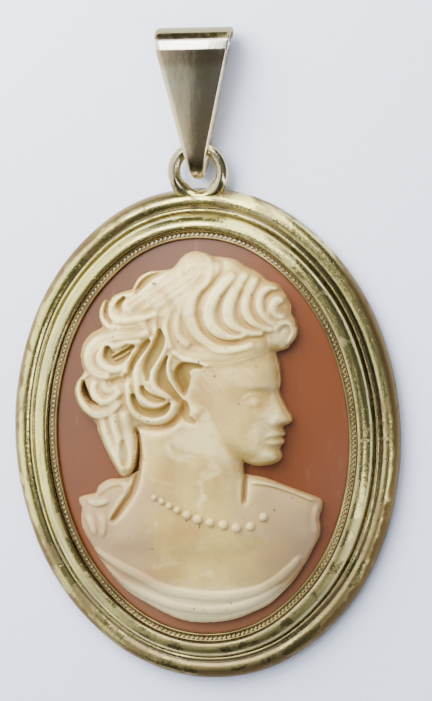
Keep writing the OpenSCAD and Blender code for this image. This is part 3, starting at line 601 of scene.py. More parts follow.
# Folds of the dress: lift, crown, then (x, y, half width)
FOLDS = [
    (0, 0.3, [(-7, -4.9, 0.25), (-6.75, -4.4, 0.3), (-6.95, -3.8, 0.32), (-7.6, -3.6, 0.34),
     (-8.5, -3.8, 0.36), (-9.2, -4.3, 0.36), (-9.6, -5, 0.4), (-9.5, -5.8, 0.5)]),
    (0.06, 0.34, [(-10.6, -4.9, 0.25), (-10.1, -5, 0.35), (-9.4, -5.2, 0.4), (-8.7, -5.1, 0.35),
     (-8.2, -4.9, 0.2)]),
    (0, 0.3, [(-10.5, -5.9, 0.3), (-10.2, -6.6, 0.42), (-9.9, -7.4, 0.42), (-9.8, -8.3, 0.3)]),
    (0, 0.24, [(-9.4, -5.9, 0.35), (-9, -6.7, 0.4), (-9, -7.6, 0.35), (-9.3, -8.4, 0.25)]),
    (0, 0.3, [(-10.1, -9.1, 0.2), (-8.5, -10.3, 0.4), (-6, -11.75, 0.45), (-4, -12.9, 0.45),
     (-2, -13.4, 0.45), (0, -13.7, 0.45), (2, -13.7, 0.45), (4, -13.4, 0.42), (5.5, -12.7, 0.4),
     (7, -11.5, 0.35), (7.9, -10.4, 0.2)]),
    (-0.04, 0.3, [(-9.3, -10.6, 0.2), (-7.5, -12.3, 0.35), (-5, -13.75, 0.4), (-3, -14.5, 0.4),
     (0, -14.95, 0.42), (2.5, -14.75, 0.4), (4.5, -14, 0.35), (6.2, -12.9, 0.2)]),
    (0.1, 0.3, [(3.5, -4.05, 0.15), (5.4, -4.35, 0.2), (7.4, -5.05, 0.22), (9.5, -6.05, 0.2)]),
    (0, 0.22, [(9.5, -6.1, 0.2), (9.2, -7, 0.3), (9.2, -8.2, 0.32), (9, -9.2, 0.25)]),
]
# Beads of the necklace: (x, y, radius)
NECKLACE = [(-4.4, -5, 0.26), (-3.75, -5.35, 0.28), (-3.1, -5.75, 0.28), (-2.45, -6.15, 0.3),
            (-1.65, -6.6, 0.36), (-0.75, -7, 0.4), (0.3, -7.35, 0.38), (1.4, -7.6, 0.4), (2.5, -7.9, 0.4),
            (3.65, -7.85, 0.38), (4.75, -7.15, 0.36)]
# Creases beside the ear and along the lower edge of the hair: depth, then (x, y, half width)
EAR_CREASE = (0.3, [(-2.35, 6.2, 0.08), (-2.15, 5.3, 0.13), (-1.9, 4.75, 0.15), (-1.6, 4.2, 0.16),
                    (-1.15, 3.65, 0.15)])
NAPE_CREASE = (0.2, [(-5.1, 1.2, 0.35), (-3.8, 0.95, 0.4), (-2.4, 1.05, 0.4), (-1.4, 1.6, 0.3)])
# Where the neck is cut free of the shoulders, behind and in front
NECK_EDGES = [
    (0.6, [(-5.15, 1.0, 0.3), (-4.95, 0.0, 0.34), (-4.9, -1.4, 0.36), (-5.1, -2.75, 0.38), (-5.5, -4.15, 0.4),
     (-6.25, -5.35, 0.42), (-7.05, -6.4, 0.36), (-7.7, -7.2, 0.2)]),
    (0.6, [(4.4, -2.5, 0.2), (4.15, -3.4, 0.24), (4.1, -4.4, 0.26), (4.05, -5.5, 0.18)]),
]
# The face's soft forms: (x, y, half length, half width, turn, height), hollow where the height is negative
FACE_FORMS = [
    (5.5, 3.85, 1.35, 0.75, 6, -0.28), (6.85, 3.95, 0.6, 0.7, 70, -0.08), (4.0, 1.6, 2.1, 1.6, 20, 0.12),
    (6.5, -1.3, 0.9, 0.8, 0, 0.18), (6.55, -0.5, 0.7, 0.3, 0, -0.1), (6.9, 1.6, 0.42, 0.36, 0, 0.24),
    (6.7, 2.45, 0.35, 0.8, -20, -0.06), (5.4, 3.55, 0.6, 0.38, 4, 0.27), (5.3, 4.75, 1.7, 0.42, -6, 0.1),
]
# The face's lids and lips, and the cuts beside them: height or depth, then (x, y, half width)
FACE_RIDGES = [
    (0.11, [(4.25, 3.5, 0.05), (4.65, 3.85, 0.1), (5.2, 4.03, 0.12), (5.8, 3.93, 0.11), (6.15, 3.65, 0.06)]),
    (0.05, [(4.5, 3.38, 0.05), (5.0, 3.16, 0.08), (5.5, 3.14, 0.08), (5.95, 3.3, 0.05)]),
    (0.13, [(6.05, 0.38, 0.08), (6.65, 0.58, 0.24), (7.2, 0.62, 0.24), (7.6, 0.5, 0.15)]),
    (0.12, [(6.1, 0.08, 0.06), (6.65, -0.12, 0.22), (7.2, -0.12, 0.22), (7.5, -0.05, 0.15)]),
]
FACE_CUTS = [
    (0.15, [(5.9, 0.2, 0.08), (6.5, 0.25, 0.11), (7.1, 0.27, 0.12), (7.8, 0.27, 0.1)]),
    (0.05, [(4.5, 4.1, 0.06), (5.1, 4.32, 0.1), (5.8, 4.22, 0.1), (6.2, 3.95, 0.06)]),
    (0.11, [(6.3, 1.95, 0.1), (6.45, 1.45, 0.12), (6.8, 1.17, 0.12), (7.3, 1.12, 0.1)]),
]
# The ear's lobe, as one more soft form
EAR_LOBE = (0.35, 2.65, 0.5, 0.45, 20, 0.2)
# Masses: height at the edge, how much more in the middle, and how far in the rise ends
BUST_MASS, NECK_MASS, HAIR_MASS = (0.3, 1.0, 4.0), (0.65, 1.05, 3.2), (0.55, 1.45, 4.0)
# The neck where it stands clear of the bust, and the head's height and how far in it is reached, over the
# neck and elsewhere
CLEAR_NECK, HEAD_HEIGHT, HEAD_OVER_NECK, HEAD_ELSEWHERE = (0.5, 1.2, 3.0), 2.1, 1.7, 2.6
# What is left at the figure's rim: its lowest height, and how far in the edge is rubbed round
LOWEST, RUBBED_IN = 0.12, 0.3


def placed(points, lift):
    """Moves points of the drawing to where they lie on the shell."""
    p = np.array(points, float)
    z = ground_z(p[:, 0], p[:, 1]) + lift
    moved = [DRAWN_ORIGIN[k] + p[:, 0] * DRAWN_X[k] + p[:, 1] * DRAWN_Y[k] + z * DRAWN_LEAN[k]
             for k in (0, 1)]
    return np.column_stack([*moved, p[:, 2:]])


def through(points, steps=8, closed=False):
    """A smooth line through points. A third column, such as a half width, goes along."""
    p = np.array(points, float)
    n = len(p)
    out = []
    for i in range(n if closed else n - 1):
        a, b, c, d = (p[(i + k) % n] if closed else p[min(max(i + k, 0), n - 1)] for k in (-1, 0, 1, 2))
        for t in np.linspace(0, 1, steps, endpoint=False):
            out.append(0.5 * (2 * b + (c - a) * t + (2 * a - 5 * b + 4 * c - d) * t ** 2
                              + (3 * b - a - 3 * c + d) * t ** 3))
    if not closed:
        out.append(p[-1])
    return np.array(out)


def rounded(d):
    """A quarter round from 0 at the edge to 1 at one width in."""
    return np.sqrt(1 - (1 - np.clip(d, 0, 1)) ** 2)


def domed(s):
    """A half round across a line, from its middle at 0 to its edge at 1."""
    return np.sqrt(np.clip(1 - s * s, 0, 1))


def swelling(inward, edge, rise, reach):
    """A mass that rises in a quarter round from its edge."""
    return edge + rise * rounded(inward / reach)


def depth_inside(outline, steps=5):
    """Distance in from a closed outline, negative outside it."""
    line = through(outline, steps, closed=True)
    nearest = np.full(NET_X.shape, 1e9)
    inside = np.zeros(NET_X.shape, bool)
    for (ax, ay), (bx, by) in zip(line, np.roll(line, -1, axis=0)):
        dx, dy = bx - ax, by - ay
        t = np.clip(((NET_X - ax) * dx + (NET_Y - ay) * dy) / max(dx * dx + dy * dy, 1e-12), 0, 1)
        nearest = np.minimum(nearest, (NET_X - ax - t * dx) ** 2 + (NET_Y - ay - t * dy) ** 2)
        if ay != by:
            inside ^= ((ay > NET_Y) != (by > NET_Y)) & (NET_X < ax + dx * (NET_Y - ay) / dy)
    return np.where(inside, 1, -1) * np.sqrt(nearest)


def softened(field, mask, radius, passes=3):
    """The field blurred within a mask, so that nothing outside it bleeds in."""
    n = max(1, round(radius / NET / 1.7))

    def spread(a):
        for axis in (0, 1) * passes:
            low, high = (np.repeat(np.take(a, [end], axis), count, axis)
                         for end, count in ((0, n + 1), (-1, n)))
            total = np.cumsum(np.concatenate([low, a, high], axis), axis)
            length = a.shape[axis]
            a = (np.take(total, range(2 * n + 1, 2 * n + 1 + length), axis)
                 - np.take(total, range(length), axis)) / (2 * n + 1)
        return a
    mask = mask.astype(float)
    return np.where(mask > 0, spread(field * mask) / np.maximum(spread(mask), 1e-6), field)


def beside(line):
    """The part of the net near a line, with each point's side distance, place along, and half width there."""
    low, high = line.min(0), line.max(0)
    pad = line[:, 2].max() + 0.3
    window = tuple(slice(max(0, int((low[k] - pad - start) / NET)), int((high[k] + pad - start) / NET) + 2)
                   for k, start in ((1, NET_Y[0, 0]), (0, NET_X[0, 0])))
    x, y = NET_X[window], NET_Y[window]
    best = np.full(x.shape, 1e9)
    side, along, width = np.zeros(x.shape), np.zeros(x.shape), np.ones(x.shape)
    gone = 0.0
    for (ax, ay, aw), (bx, by, bw) in zip(line[:-1], line[1:]):
        dx, dy = bx - ax, by - ay
        length = math.hypot(dx, dy)
        t = np.clip(((x - ax) * dx + (y - ay) * dy) / max(length * length, 1e-12), 0, 1)
        ox, oy = x - ax - t * dx, y - ay - t * dy
        near = ox ** 2 + oy ** 2 < best
        best = np.where(near, ox ** 2 + oy ** 2, best)
        side = np.where(near, np.sign(dx * oy - dy * ox), side)
        along = np.where(near, gone + t * length, along)
        width = np.where(near, aw + (bw - aw) * t, width)
        gone += length
    return window, side * np.sqrt(best), along, width, gone


def mound(x, y, half_long, half_wide, turn, height):
    """A soft rise, or a dip where its height is negative."""
    c, s = math.cos(math.radians(turn)), math.sin(math.radians(turn))
    u = ((NET_X - x) * c + (NET_Y - y) * s) / half_long
    v = ((NET_Y - y) * c - (NET_X - x) * s) / half_wide
    return height * np.exp(-(u * u + v * v))


def lay(height, base, points, lift, crown, strands=0, end=0.4, grain=None):
    """Lays a lock of hair or a fold of cloth on the base, in place, with strands cut along it."""
    window, off, along, width, length = beside(through(points))
    s = off / np.maximum(width, 0.02)
    full = eased(np.minimum(along, length - along) / end)
    dome = domed(s)
    h = base[window] + (lift + crown * dome) * full
    if strands:
        h -= STRAND_DEPTH * (0.5 - 0.5 * np.cos(np.pi * strands * (s + 1))) * dome * full
    over = (np.abs(s) < 1) & (h > height[window])
    height[window] = np.where(over, h, height[window])
    if grain is not None:
        for store, value in zip(grain, (off + 3.7 * points[0][0], along, full * dome)):
            store[window] = np.where(over, value, store[window])


def cut(height, depth, points):
    """Cuts a soft groove, in place."""
    window, off, along, width, length = beside(through(points))
    s = off / np.maximum(width, 0.02)
    height[window] -= depth * np.clip(1 - s * s, 0, 1) ** 1.5 * eased(np.minimum(along, length - along) / 0.5)


def hollow_out(height, thin, base, depth, thinness, points):
    """Cuts a hollow with steep sides, in place, and marks where the layer is thin."""
    window, off, _, width, _ = beside(through(points))
    out = (np.abs(off) - width) / HOLLOW_WALL
    floor = base[window] - depth - 0.12 * np.clip(-out * HOLLOW_WALL / 0.4, 0, 1)
    h = floor + (height[window] - floor) * eased(out)
    height[window] = np.where(out < 1, np.minimum(height[window], h), height[window])
    thin[window] = np.maximum(thin[window], thinness * eased((0.05 - np.abs(off) + width) / 0.16))


def carve():
    """The figure's height above the ground, its distance in from the outline, and its masks."""
    bust, neck, hair = (depth_inside(placed(line, lift)) for line, lift in
                        ((BUST, BUST_LIFT), (NECK, NECK_LIFT), (HAIR, HAIR_LIFT)))
    face = depth_inside(FACE)
    window, off, _, width, _ = beside(through(PIERCED))
    inside = np.maximum(np.maximum(bust, neck), np.maximum(face, hair))
    inside[window] = np.minimum(inside[window], np.abs(off) - width)
    figure, body = inside > -0.3, (neck > 0) | (bust > 0)
    thin = np.zeros(NET_X.shape)
    grain = [np.zeros(NET_X.shape) for _ in range(3)]

    # Masses: the bust, the neck rising out of it, the head over the neck
    h = np.maximum(swelling(bust, *BUST_MASS), np.where(neck > 0, swelling(neck, *NECK_MASS), 0))
    h = softened(h, bust > -0.3, 0.45)
    h = np.where((bust < -0.3) & (neck > 0), swelling(neck, *CLEAR_NECK), h)
    h = softened(h, body, 0.25)
    under = softened(np.where(body, h, 0.45), figure, 0.3)
    over = softened(body.astype(float), figure, 0.4)
    rise = over * eased(face / HEAD_OVER_NECK) + (1 - over) * rounded(face / HEAD_ELSEWHERE)
    h = np.where(face > 0, under + (HEAD_HEIGHT - under) * rise, h)
    h_hair = np.maximum(swelling(hair, *HAIR_MASS), (h + 0.04) * eased((face + 0.2) / 0.8))
    h = softened(np.where(hair > 0, h_hair, h), inside > 0, 0.18)

    # The face
    for form in FACE_FORMS:
        h = np.where(hair < 0.1, h + mound(*form), h)
    calm = h.copy()
    for crown, points in FACE_RIDGES:
        lay(h, calm, points, 0.0, crown)
    for crease in FACE_CUTS:
        cut(h, *crease)

    # The hair, over a copy of its mass
    mass = softened(h, inside > 0, 0.3)
    locks = [row[:3] + (placed(row[3], LOCK_LIFT),) for row in LOCKS] + NEAR_LOCKS
    for lift, crown, strands, points in locks:
        lay(h, mass, points, lift * 0.7, crown * 0.85, strands, grain=grain)
    for depth, points in CREASES:
        cut(h, depth, placed(points, LOCK_LIFT))
    cut(h, *EAR_CREASE)
    h = softened(h, inside > 0, 0.05, passes=1)
    for hollow in HOLLOWS:
        hollow_out(h, thin, mass, *hollow)
    for lift, crown, points in STRANDS:
        lay(h, mass, points, lift, crown, grain=grain)
        window, off, _, width, _ = beside(through(points))
        thin[window] = np.minimum(thin[window], eased(np.abs(off) / np.maximum(width, 0.02) * 1.2))
    cut(h, *NAPE_CREASE)

    # The ear's lobe, the neck's edges, the dress and the necklace
    h += mound(*EAR_LOBE)
    for crease in NECK_EDGES:
        cut(h, *crease)
    cloth = softened(h, inside > 0, 0.2)
    for lift, crown, points in FOLDS:
        lay(h, cloth, placed(points, FOLD_LIFT), lift * 0.8, crown * 0.62, end=0.8)
    h = softened(h, inside > 0, 0.05, passes=1)
    bare = h.copy()
    for x, y, r in placed(NECKLACE, NECKLACE_LIFT):
        d = np.hypot(NET_X - x, NET_Y - y) / r
        h = np.where(d < 1, np.maximum(h, bare + 0.75 * r * domed(d)), h)
    h *= 0.5 + 0.5 * rounded(inside / RUBBED_IN)
    return np.maximum(h, LOWEST), inside, thin, grain


def figure_mesh(h, inside, masks):
    """Cuts the net at the outline, drops a wall from it to the ground and closes the underside."""
    within = inside > 0
    index = -np.ones(NET_X.shape, int)
    index[within] = np.arange(within.sum())
    points = np.column_stack([NET_X[within], NET_Y[within], h[within]])
    values = np.column_stack([mask[within] for mask in masks.values()])
    extra_points, extra_values, rim, crossing = [], [], {}, {}

    def crossing_point(a, b):
        """The point where the outline crosses the net's edge from a, inside, to b, outside."""
        if (a, b) not in crossing:
            t = min(max(inside[a] / (inside[a] - inside[b]), 0.03), 0.97)
            crossing[a, b] = len(points) + len(extra_points)
            extra_points.append([v[a] + (v[b] - v[a]) * t for v in (NET_X, NET_Y)] + [h[a]])
            extra_values.append([mask[a] for mask in masks.values()])
        return crossing[a, b]

    corners = [index[:-1, :-1], index[:-1, 1:], index[1:, 1:], index[1:, :-1]]
    held = sum((c >= 0).astype(int) for c in corners)
    faces = np.column_stack([c[held == 4] for c in corners]).tolist()
    for i, j in zip(*np.nonzero((held > 0) & (held < 4))):
        around = [(i, j), (i, j + 1), (i + 1, j + 1), (i + 1, j)]
        outline, crossed = [], []
        for p, q in zip(around, around[1:] + around[:1]):
            if within[p]:
                outline.append(index[p])
            if within[p] != within[q]:
                v = crossing_point(p, q) if within[p] else crossing_point(q, p)
                outline.append(v)
                crossed.append((v, within[p]))
        faces.append(outline)
        for k, (v, leaving) in enumerate(crossed):
            if leaving:
                rim[v] = crossed[(k + 1) % len(crossed)][0]
    points, values = np.vstack([points, extra_points]), np.vstack([values, extra_values])
    values = np.vstack([values, values[list(rim)]])
    low = {v: len(points) + k for k, v in enumerate(rim)}
    faces += [[v, low[v], low[w], w] for v, w in rim.items()]
    foot = points[list(rim)] * (1, 1, 0) - (0.0, 0.0, FOOT_SUNK)
    points = np.vstack([points, foot])
    points[:, 2] += ground_z(points[:, 0], points[:, 1])
    piece = mesh_piece("cameo_figure_relief", points + (0.0, OVAL_MIDDLE_Y, 0.0), faces)
    mark(piece, **dict(zip(masks, values.T)))
    bm = bmesh.new()
    bm.from_mesh(piece.data)
    open_edges = [e for e in bm.edges if len(e.link_faces) == 1]
    bmesh.ops.triangle_fill(bm, use_beauty=True, edges=open_edges)
    bmesh.ops.recalc_face_normals(bm, faces=bm.faces)
    for face in bm.faces:
        face.smooth = abs(face.normal.z) > 0.2
    bm.to_mesh(piece.data)
    bm.free()
    return piece


def cream_shell():
    """The pale layer: ivory, pinkish at its thin edges, olive where it is cut thin, with painted shade in its
    creases and painted highlights on its ridges.
    """
    paint = Finish("cream_shell", Roughness=0.38, IOR=1.5, Subsurface_Weight=0.2,
                   Subsurface_Radius=(0.0008, 0.0006, 0.0003))
    cloud = paint.noise(190, 4.0, 0.55)
    blotch = paint.noise(420, 3.0, 0.5)
    fine = paint.noise(1500, 3.0, 0.6)
    milky = paint.noise(260, 5.0, 0.6, distortion=0.6)
    speck = paint.noise(2100, 1.0, 0.4).between(0.735, 0.79)
    hollow, thin, layer = (paint.attribute(name) for name in ("hollow", "thin", "layer"))
    hairy, across, along = (paint.attribute(name) for name in ("hairy", "across", "along"))
    lines = paint.lines(across * 5.5, along * 0.45, 0.0, 2.0, 0.5)
    x, y = paint.axis("X"), paint.axis("Y")
    sides = abs((x - 0.0005) * 120.0) + (blotch - 0.5) * 0.7 + (cloud - 0.5) * 0.5
    bun = ((cloud - 0.5) * 0.004 - x).between(0.005, 0.008) * y.between(-0.008, -0.0055)
    paint.coats((0.35, 0.225, 0.062), ((0.50, 0.37, 0.115), cloud.between(0.35, 0.65)),
                ((0.74, 0.62, 0.30), (milky + y * 4.5).between(0.47, 0.62) * 0.6),
                # the bust's sides, the thin edges and the bun are deeper
                ((0.29, 0.19, 0.10), sides.between(0.25, 0.75) * y.between(-0.009, -0.0115) * 0.75),
                ((0.34, 0.215, 0.125), (1.15 - layer + (blotch - 0.5) * 0.8).between(0.1, 0.95) * 0.7),
                ((0.30, 0.20, 0.07), bun * 0.65),
                # creases are painted darker as shade and ridges paler as highlights; strands and the lowest
                # folds are paler too, polished by wear
                ((0.36, 0.20, 0.05), hollow.between(0.0, 0.14) * 0.6),
                ((0.88, 0.77, 0.38), hollow.between(0.0, -0.12) * (0.3 + hairy * 0.35)),
                ((0.82, 0.70, 0.30), lines.between(0.52, 0.68) * hairy * 0.55),
                ((0.80, 0.70, 0.40), y.between(-0.0186, -0.0205) * 0.65),
                ((0.30, 0.20, 0.07), fine.between(0.55, 0.72) * 0.35),
                ((0.25, 0.165, 0.035), thin * 0.9),
                ((0.07, 0.05, 0.02), speck * 0.85))
    paint.bump(fine * 0.12 + lines * hairy.between(0.0, 0.6) * 0.9, 0.55, 0.00009)
    return paint.material


figure_height, figure_inside, figure_thin, figure_grain = carve()
figure = figure_mesh(figure_height, figure_inside, {
    "layer": figure_height, "thin": figure_thin,
    "hollow": softened(figure_height, figure_inside > 0, 0.5) - figure_height,
    "across": figure_grain[0], "along": figure_grain[1], "hairy": figure_grain[2]})
figure.data.materials.append(cream_shell())
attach(figure, "pendant")
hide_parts("cameo_figure")


# ---- Bezel: a thin strip of paler metal laid over the shell's edge. Its rib is milled into a row of
# beads, and a plain lip is left inside them.
BEAD_PITCH, BEAD_IN, BEAD_Z = 0.405, 3.75, 2.5
BEAD_HALF_LONG, BEAD_HALF_WIDE, BEAD_TOP = 0.135, 0.15, 0.155
# A bead's rings: how wide, and height
BEAD_RINGS = [(0.6, 0.13), (0.92, 0.06), (1.0, -0.06)]
# The strip's section as (distance in from the frame's edge, height)
STRIP_SECTION = [(3.45, 2.10), (3.44, 2.5), (3.5, 2.56), (3.56, 2.5), (3.64, 2.45), (3.86, 2.45),
                 (3.93, 2.48), (4.0, 2.55), (4.08, 2.53), (4.15, 2.42), (4.15, 2.28)]
STRIP_STATIONS = 90


def bead_tree():
    """Sets a bead at even steps along the line, turned along it and each a little different in size."""
    tree = make_tree("milled_row", {"Pitch": "Float", "Bead": "Object"})
    path = tree.node("GeometryNodeMeshToCurve", {}, (tree.given["Geometry"],))
    path = tree.node("GeometryNodeResampleCurve", {"mode": "LENGTH"},
                     {"Curve": path, "Length": tree.given["Pitch"]})
    turn = tree.node("FunctionNodeAlignEulerToVector", {"axis": "X"},
                     {"Vector": tree.node("GeometryNodeInputTangent")})
    size = tree.node("FunctionNodeRandomValue", {"data_type": "FLOAT_VECTOR"},
                     {0: (0.9, 0.94, 0.88), 1: (1.08, 1.05, 1.1), "Seed": 7})
    bead = tree.node("GeometryNodeObjectInfo", {}, {"Object": tree.given["Bead"]})["Geometry"]
    return end_tree(tree, tree.node("GeometryNodeInstanceOnPoints", {}, {
        "Points": path, "Instance": bead, "Rotation": turn, "Scale": size}))


def bead_mesh():
    """One grain of the milling: a small rounded bead, a little longer across the row."""
    sides, rings = 10, len(BEAD_RINGS)
    points = [(BEAD_HALF_LONG * share * math.cos(a), BEAD_HALF_WIDE * share * math.sin(a), z)
              for share, z in BEAD_RINGS for a in round_turn(sides) + math.pi / sides]
    points += [(0.0, 0.0, BEAD_TOP), (0.0, 0.0, BEAD_RINGS[-1][1])]
    top, low = len(points) - 2, len(points) - 1
    return points, (ring_faces(rings, sides) + fan(top, 0, sides)
                    + fan(low, (rings - 1) * sides, sides, flip=True))


def bezel_finish():
    """Dull, dirty metal. The tops of the beads and the lip are paler, and a painted highlight turns them near
    white at the upper left.
    """
    paint = Finish("bezel_metal", Metallic=1.0)
    cloud = paint.noise(300, 4.0, 0.6)
    specks = paint.noise(2500, 2.0, 0.6)
    raised = paint.axis("Z").between(0.00256, 0.00261)
    # Painted highlight: the raised tops turn near white towards the upper left.
    wear_and_highlight = (paint.axis("Y") * 45.0 - paint.axis("X") * 40.0 + cloud).between(0.0, 1.0)
    paint.coats((0.40, 0.31, 0.13), ((0.27, 0.20, 0.085), cloud.between(0.42, 0.66)),
                ((0.46, 0.38, 0.20), raised), ((0.88, 0.84, 0.70), raised * wear_and_highlight),
                ((0.12, 0.09, 0.06), specks.between(0.62, 0.75) * 0.6))
    paint.feed("Roughness", 0.2 + cloud * 0.2)
    paint.bump(specks, 0.2, 0.00004)
    return paint.material


bezel_metal = bezel_finish()
strip_lines = [oval_line(u, STRIP_STATIONS) for u, _ in STRIP_SECTION]
strip_points = [(*line[i], z) for i in range(len(strip_lines[0]))
                for line, (_, z) in zip(strip_lines, STRIP_SECTION)]
strip_faces = ring_faces(len(strip_lines[0]), len(STRIP_SECTION), closed=True)
strip = mesh_piece("bezel_strip", strip_points, strip_faces, bezel_metal)
bead_path = closed_line("bead_path", [(x, y, BEAD_Z) for x, y in oval_line(BEAD_IN, STRIP_STATIONS)])
bead = mesh_piece("bead", *bead_mesh())
beads = made_by(bead_tree(), bead_path, "bezel_beads", {"Pitch": BEAD_PITCH * MM, "Bead": bead,
                                                        "Finish": bezel_metal})
bpy.data.objects.remove(bead)
for piece in (strip, beads):
    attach(piece, "pendant")
    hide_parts("milled_bezel")


# ---- Bail: one strip of pale metal, folded over at the top for the chain and closed round the loop's
# wire at the tip, where a bead of solder joins its two ends. It swings on the loop.
PIVOT = (0.0, 17.71, 1.48)
BAIL_REACH, BAIL_T, BAIL_SLOT, FOLD_R = 10.06, 0.43, 0.98, 1.54
# The flat facet below the fold: where the fold's round ends, the facet's length and its slope
FACET_TURN, FACET_LONG, FACET_SLOPE = 72.0, 0.75, 8.0
# Half of the strip's outer and inner faces at the tip, as (up the bail, height)
TIP_OUT = [(-2.7, 0.06), (-2.67, 0.22), (-2.58, 0.38), (-2.42, 0.54), (-2.2, 0.7), (-1.95, 0.86),
           (-1.6, 1.04), (-1.2, 1.2), (-0.8, 1.32), (-0.4, 1.38), (0.0, BAIL_SLOT + BAIL_T)]
TIP_IN = [(-0.985, 0.02), (-0.98, 0.08), (-0.96, 0.16), (-0.94, 0.27), (-0.9, 0.38), (-0.84, 0.49),
          (-0.74, 0.63), (-0.6, 0.77), (-0.42, 0.88), (-0.2, 0.95), (0.0, BAIL_SLOT)]
# Half the strip's width: up the bail, in front, and in the leaf behind
HALF_WIDTHS = [(-2.7, 0.1, 0.1), (-2.67, 0.24, 0.24), (-2.6, 0.37, 0.37), (-2.45, 0.49, 0.49),
               (-2.2, 0.58, 0.58), (-1.4, 0.76, 0.76), (0.0, 1.14, 0.8), (BAIL_REACH - 1.45, 3.18, 2.75),
               (BAIL_REACH, 3.28, 3.28)]
# How far the rounding of each long edge reaches in, and how far down it drops
LEFT_EDGE, RIGHT_EDGE = (0.5, 0.24), (0.17, 0.14)
LEFT_TURNS, RIGHT_TURNS = np.radians((84, 64, 44, 24, 0)), np.radians((0, 30, 55, 84))
# The drop of solder's middle, from the pivot, and its radius
DROP_PLACE, DROP_R = (0.0, -2.2, 0.6), 0.27


def side_line(tip, r):
    """One face of the folded strip from the side, tip to tip, given half its tip and the fold's radius."""
    half, fold_y, fold_z = tip[-1][1], BAIL_REACH - FOLD_R, FOLD_R - BAIL_SLOT - BAIL_T
    turns = np.radians(np.linspace(-90, FACET_TURN, 28))
    line = [(y, -z) for y, z in tip]
    line += [(fold_y * t, -half + (fold_z - r + half) * t) for t in np.linspace(0, 1, 13)[1:-1]]
    line += [(fold_y + r * math.cos(t), fold_z + r * math.sin(t)) for t in turns]
    y, z = line[-1]
    crest_y = y - FACET_LONG
    crest_z = (fold_z + FOLD_R * math.sin(turns[-1]) + FACET_LONG * math.tan(math.radians(FACET_SLOPE))
               + r - FOLD_R)
    line += [(y - 0.06, z + 0.012), (crest_y + 0.06, crest_z - 0.01), (crest_y, crest_z)]
    line += [((crest_y - 0.1) * t, half + (crest_z - 0.006 - half) * t) for t in np.linspace(1, 0, 15)]
    return line + tip[-2::-1]


def half_width(up, front):
    ups, fronts, backs = zip(*HALF_WIDTHS)
    return float(np.interp(up, ups, fronts if front else backs))


def bail_mesh():
    """The strip's two faces, with a wide rounding down its left edge and a narrow one down its right."""
    outer, inner = side_line(TIP_OUT, FOLD_R), side_line(TIP_IN, FOLD_R - BAIL_T)
    points = []
    for (oy, oz), (iy, iz) in zip(outer, inner):
        w = half_width(oy, oz > 0)
        left, right = min(LEFT_EDGE[0], w * 0.35), min(RIGHT_EDGE[0], w * 0.3)
        ny, nz = np.array((oy - iy, oz - iz)) / math.hypot(oy - iy, oz - iz)
        face = ([(-w + left * (1 - math.sin(a)), LEFT_EDGE[1] * (1 - math.cos(a))) for a in LEFT_TURNS]
                + [(w - right * (1 - math.sin(a)), RIGHT_EDGE[1] * (1 - math.cos(a))) for a in RIGHT_TURNS])
        points += [(x, oy - ny * drop, oz - nz * drop) for x, drop in face]
        flat = min(w, half_width(iy, iz > 0)) - 0.07
        back = [(w, 0.12), (flat, 0.02), (-flat, 0.02), (-w, 0.12)]
        points += [(x, iy + ny * rise, iz + nz * rise) for x, rise in back]
    stations, ring = len(outer), len(face) + len(back)
    faces = ring_faces(stations, ring)
    faces += [tuple(range(ring)), tuple(range(stations * ring - 1, (stations - 1) * ring - 1, -1))]
    return [(x, PIVOT[1] + y, PIVOT[2] + z) for x, y, z in points], faces


def bail_finish():
    """Paler metal, brushed along the strip and warm towards the tip, with a painted highlight at the foot of
    the facet and painted shade in bands over the fold's top and on the leaf just below.
    """
    paint = Finish("bail_metal", Metallic=1.0)
    cloud = paint.noise(260, 4.0, 0.6)
    brushed = paint.noise(900, 4.0, 0.65, stretch=(1.0, 0.16, 1.0))
    specks = paint.noise(2400, 2.0, 0.6)
    up = paint.axis("Y")
    paint.coats((0.68, 0.62, 0.44), ((0.60, 0.54, 0.34), cloud.between(0.4, 0.66)),
                ((0.78, 0.62, 0.34), (cloud * 0.004 - up + 0.0225).between(0.0, 0.006) * 0.75),
                # Painted shade in a band below the facet, a painted highlight at the facet's foot, and
                # painted shade over the fold's top
                ((0.34, 0.25, 0.14), (up + cloud * 0.0012).between(0.0248, 0.0258) * 0.6),
                ((0.88, 0.84, 0.68), up.between(0.02582, 0.02605)),
                ((0.30, 0.25, 0.12), up.between(0.02672, 0.0269)),
                ((0.30, 0.22, 0.11), brushed.between(0.56, 0.74) * 0.4),
                ((0.12, 0.08, 0.04), specks.between(0.68, 0.76) * 0.5))
    paint.feed("Roughness", 0.13 + brushed.between(0.4, 0.7) * 0.12)
    paint.bump(brushed * 0.5 + specks * 0.5, 0.22, 0.00006)
    return paint.material


def solder_drop(middle, r, sides=14, rows=7):
    """A drop of solder: a small ball sunk half into the tip."""
    points = [middle + r * np.array([math.cos(a) * math.sin(b), math.sin(a) * math.sin(b), math.cos(b)])
              for b in np.linspace(0, math.pi, rows + 2)[1:-1] for a in round_turn(sides)]
    top = len(points)
    points += [middle + (0, 0, r), middle - (0, 0, r)]
    return points, ring_faces(rows, sides) + fan(top, 0, sides) + fan(top + 1, top - sides, sides, flip=True)


bail = mesh_piece("bail_strip", *bail_mesh(), bail_finish())
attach(bail, "bail")
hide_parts("bail")

drop = mesh_piece("bail_solder", *solder_drop(np.array(PIVOT) + DROP_PLACE, DROP_R), gilt_metal)
mark(drop, across=1.1, along=0.4)
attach(drop, "bail")
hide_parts("bail")


# ---- Table: a sheet of cool white paper. The light comes softly from the upper left. A few bright windows
# and panels stand round the room for the metal to mirror, and the side near the viewer is dark.
TABLE_HALF = 600
paper = Finish("white_paper", Roughness=0.85)
fibres = paper.noise(1400, 4.0, 0.6)
paper.coats((0.70, 0.755, 0.95), ((0.78, 0.83, 0.99), fibres))
paper.bump(fibres, 0.15, 0.00008)
corners = [(TABLE_HALF * x, TABLE_HALF * y, 0) for x, y in ((-1, -1), (1, -1), (1, 1), (-1, 1))]
floor = mesh_piece("table_top", corners, [(0, 1, 2, 3)], paper.material)

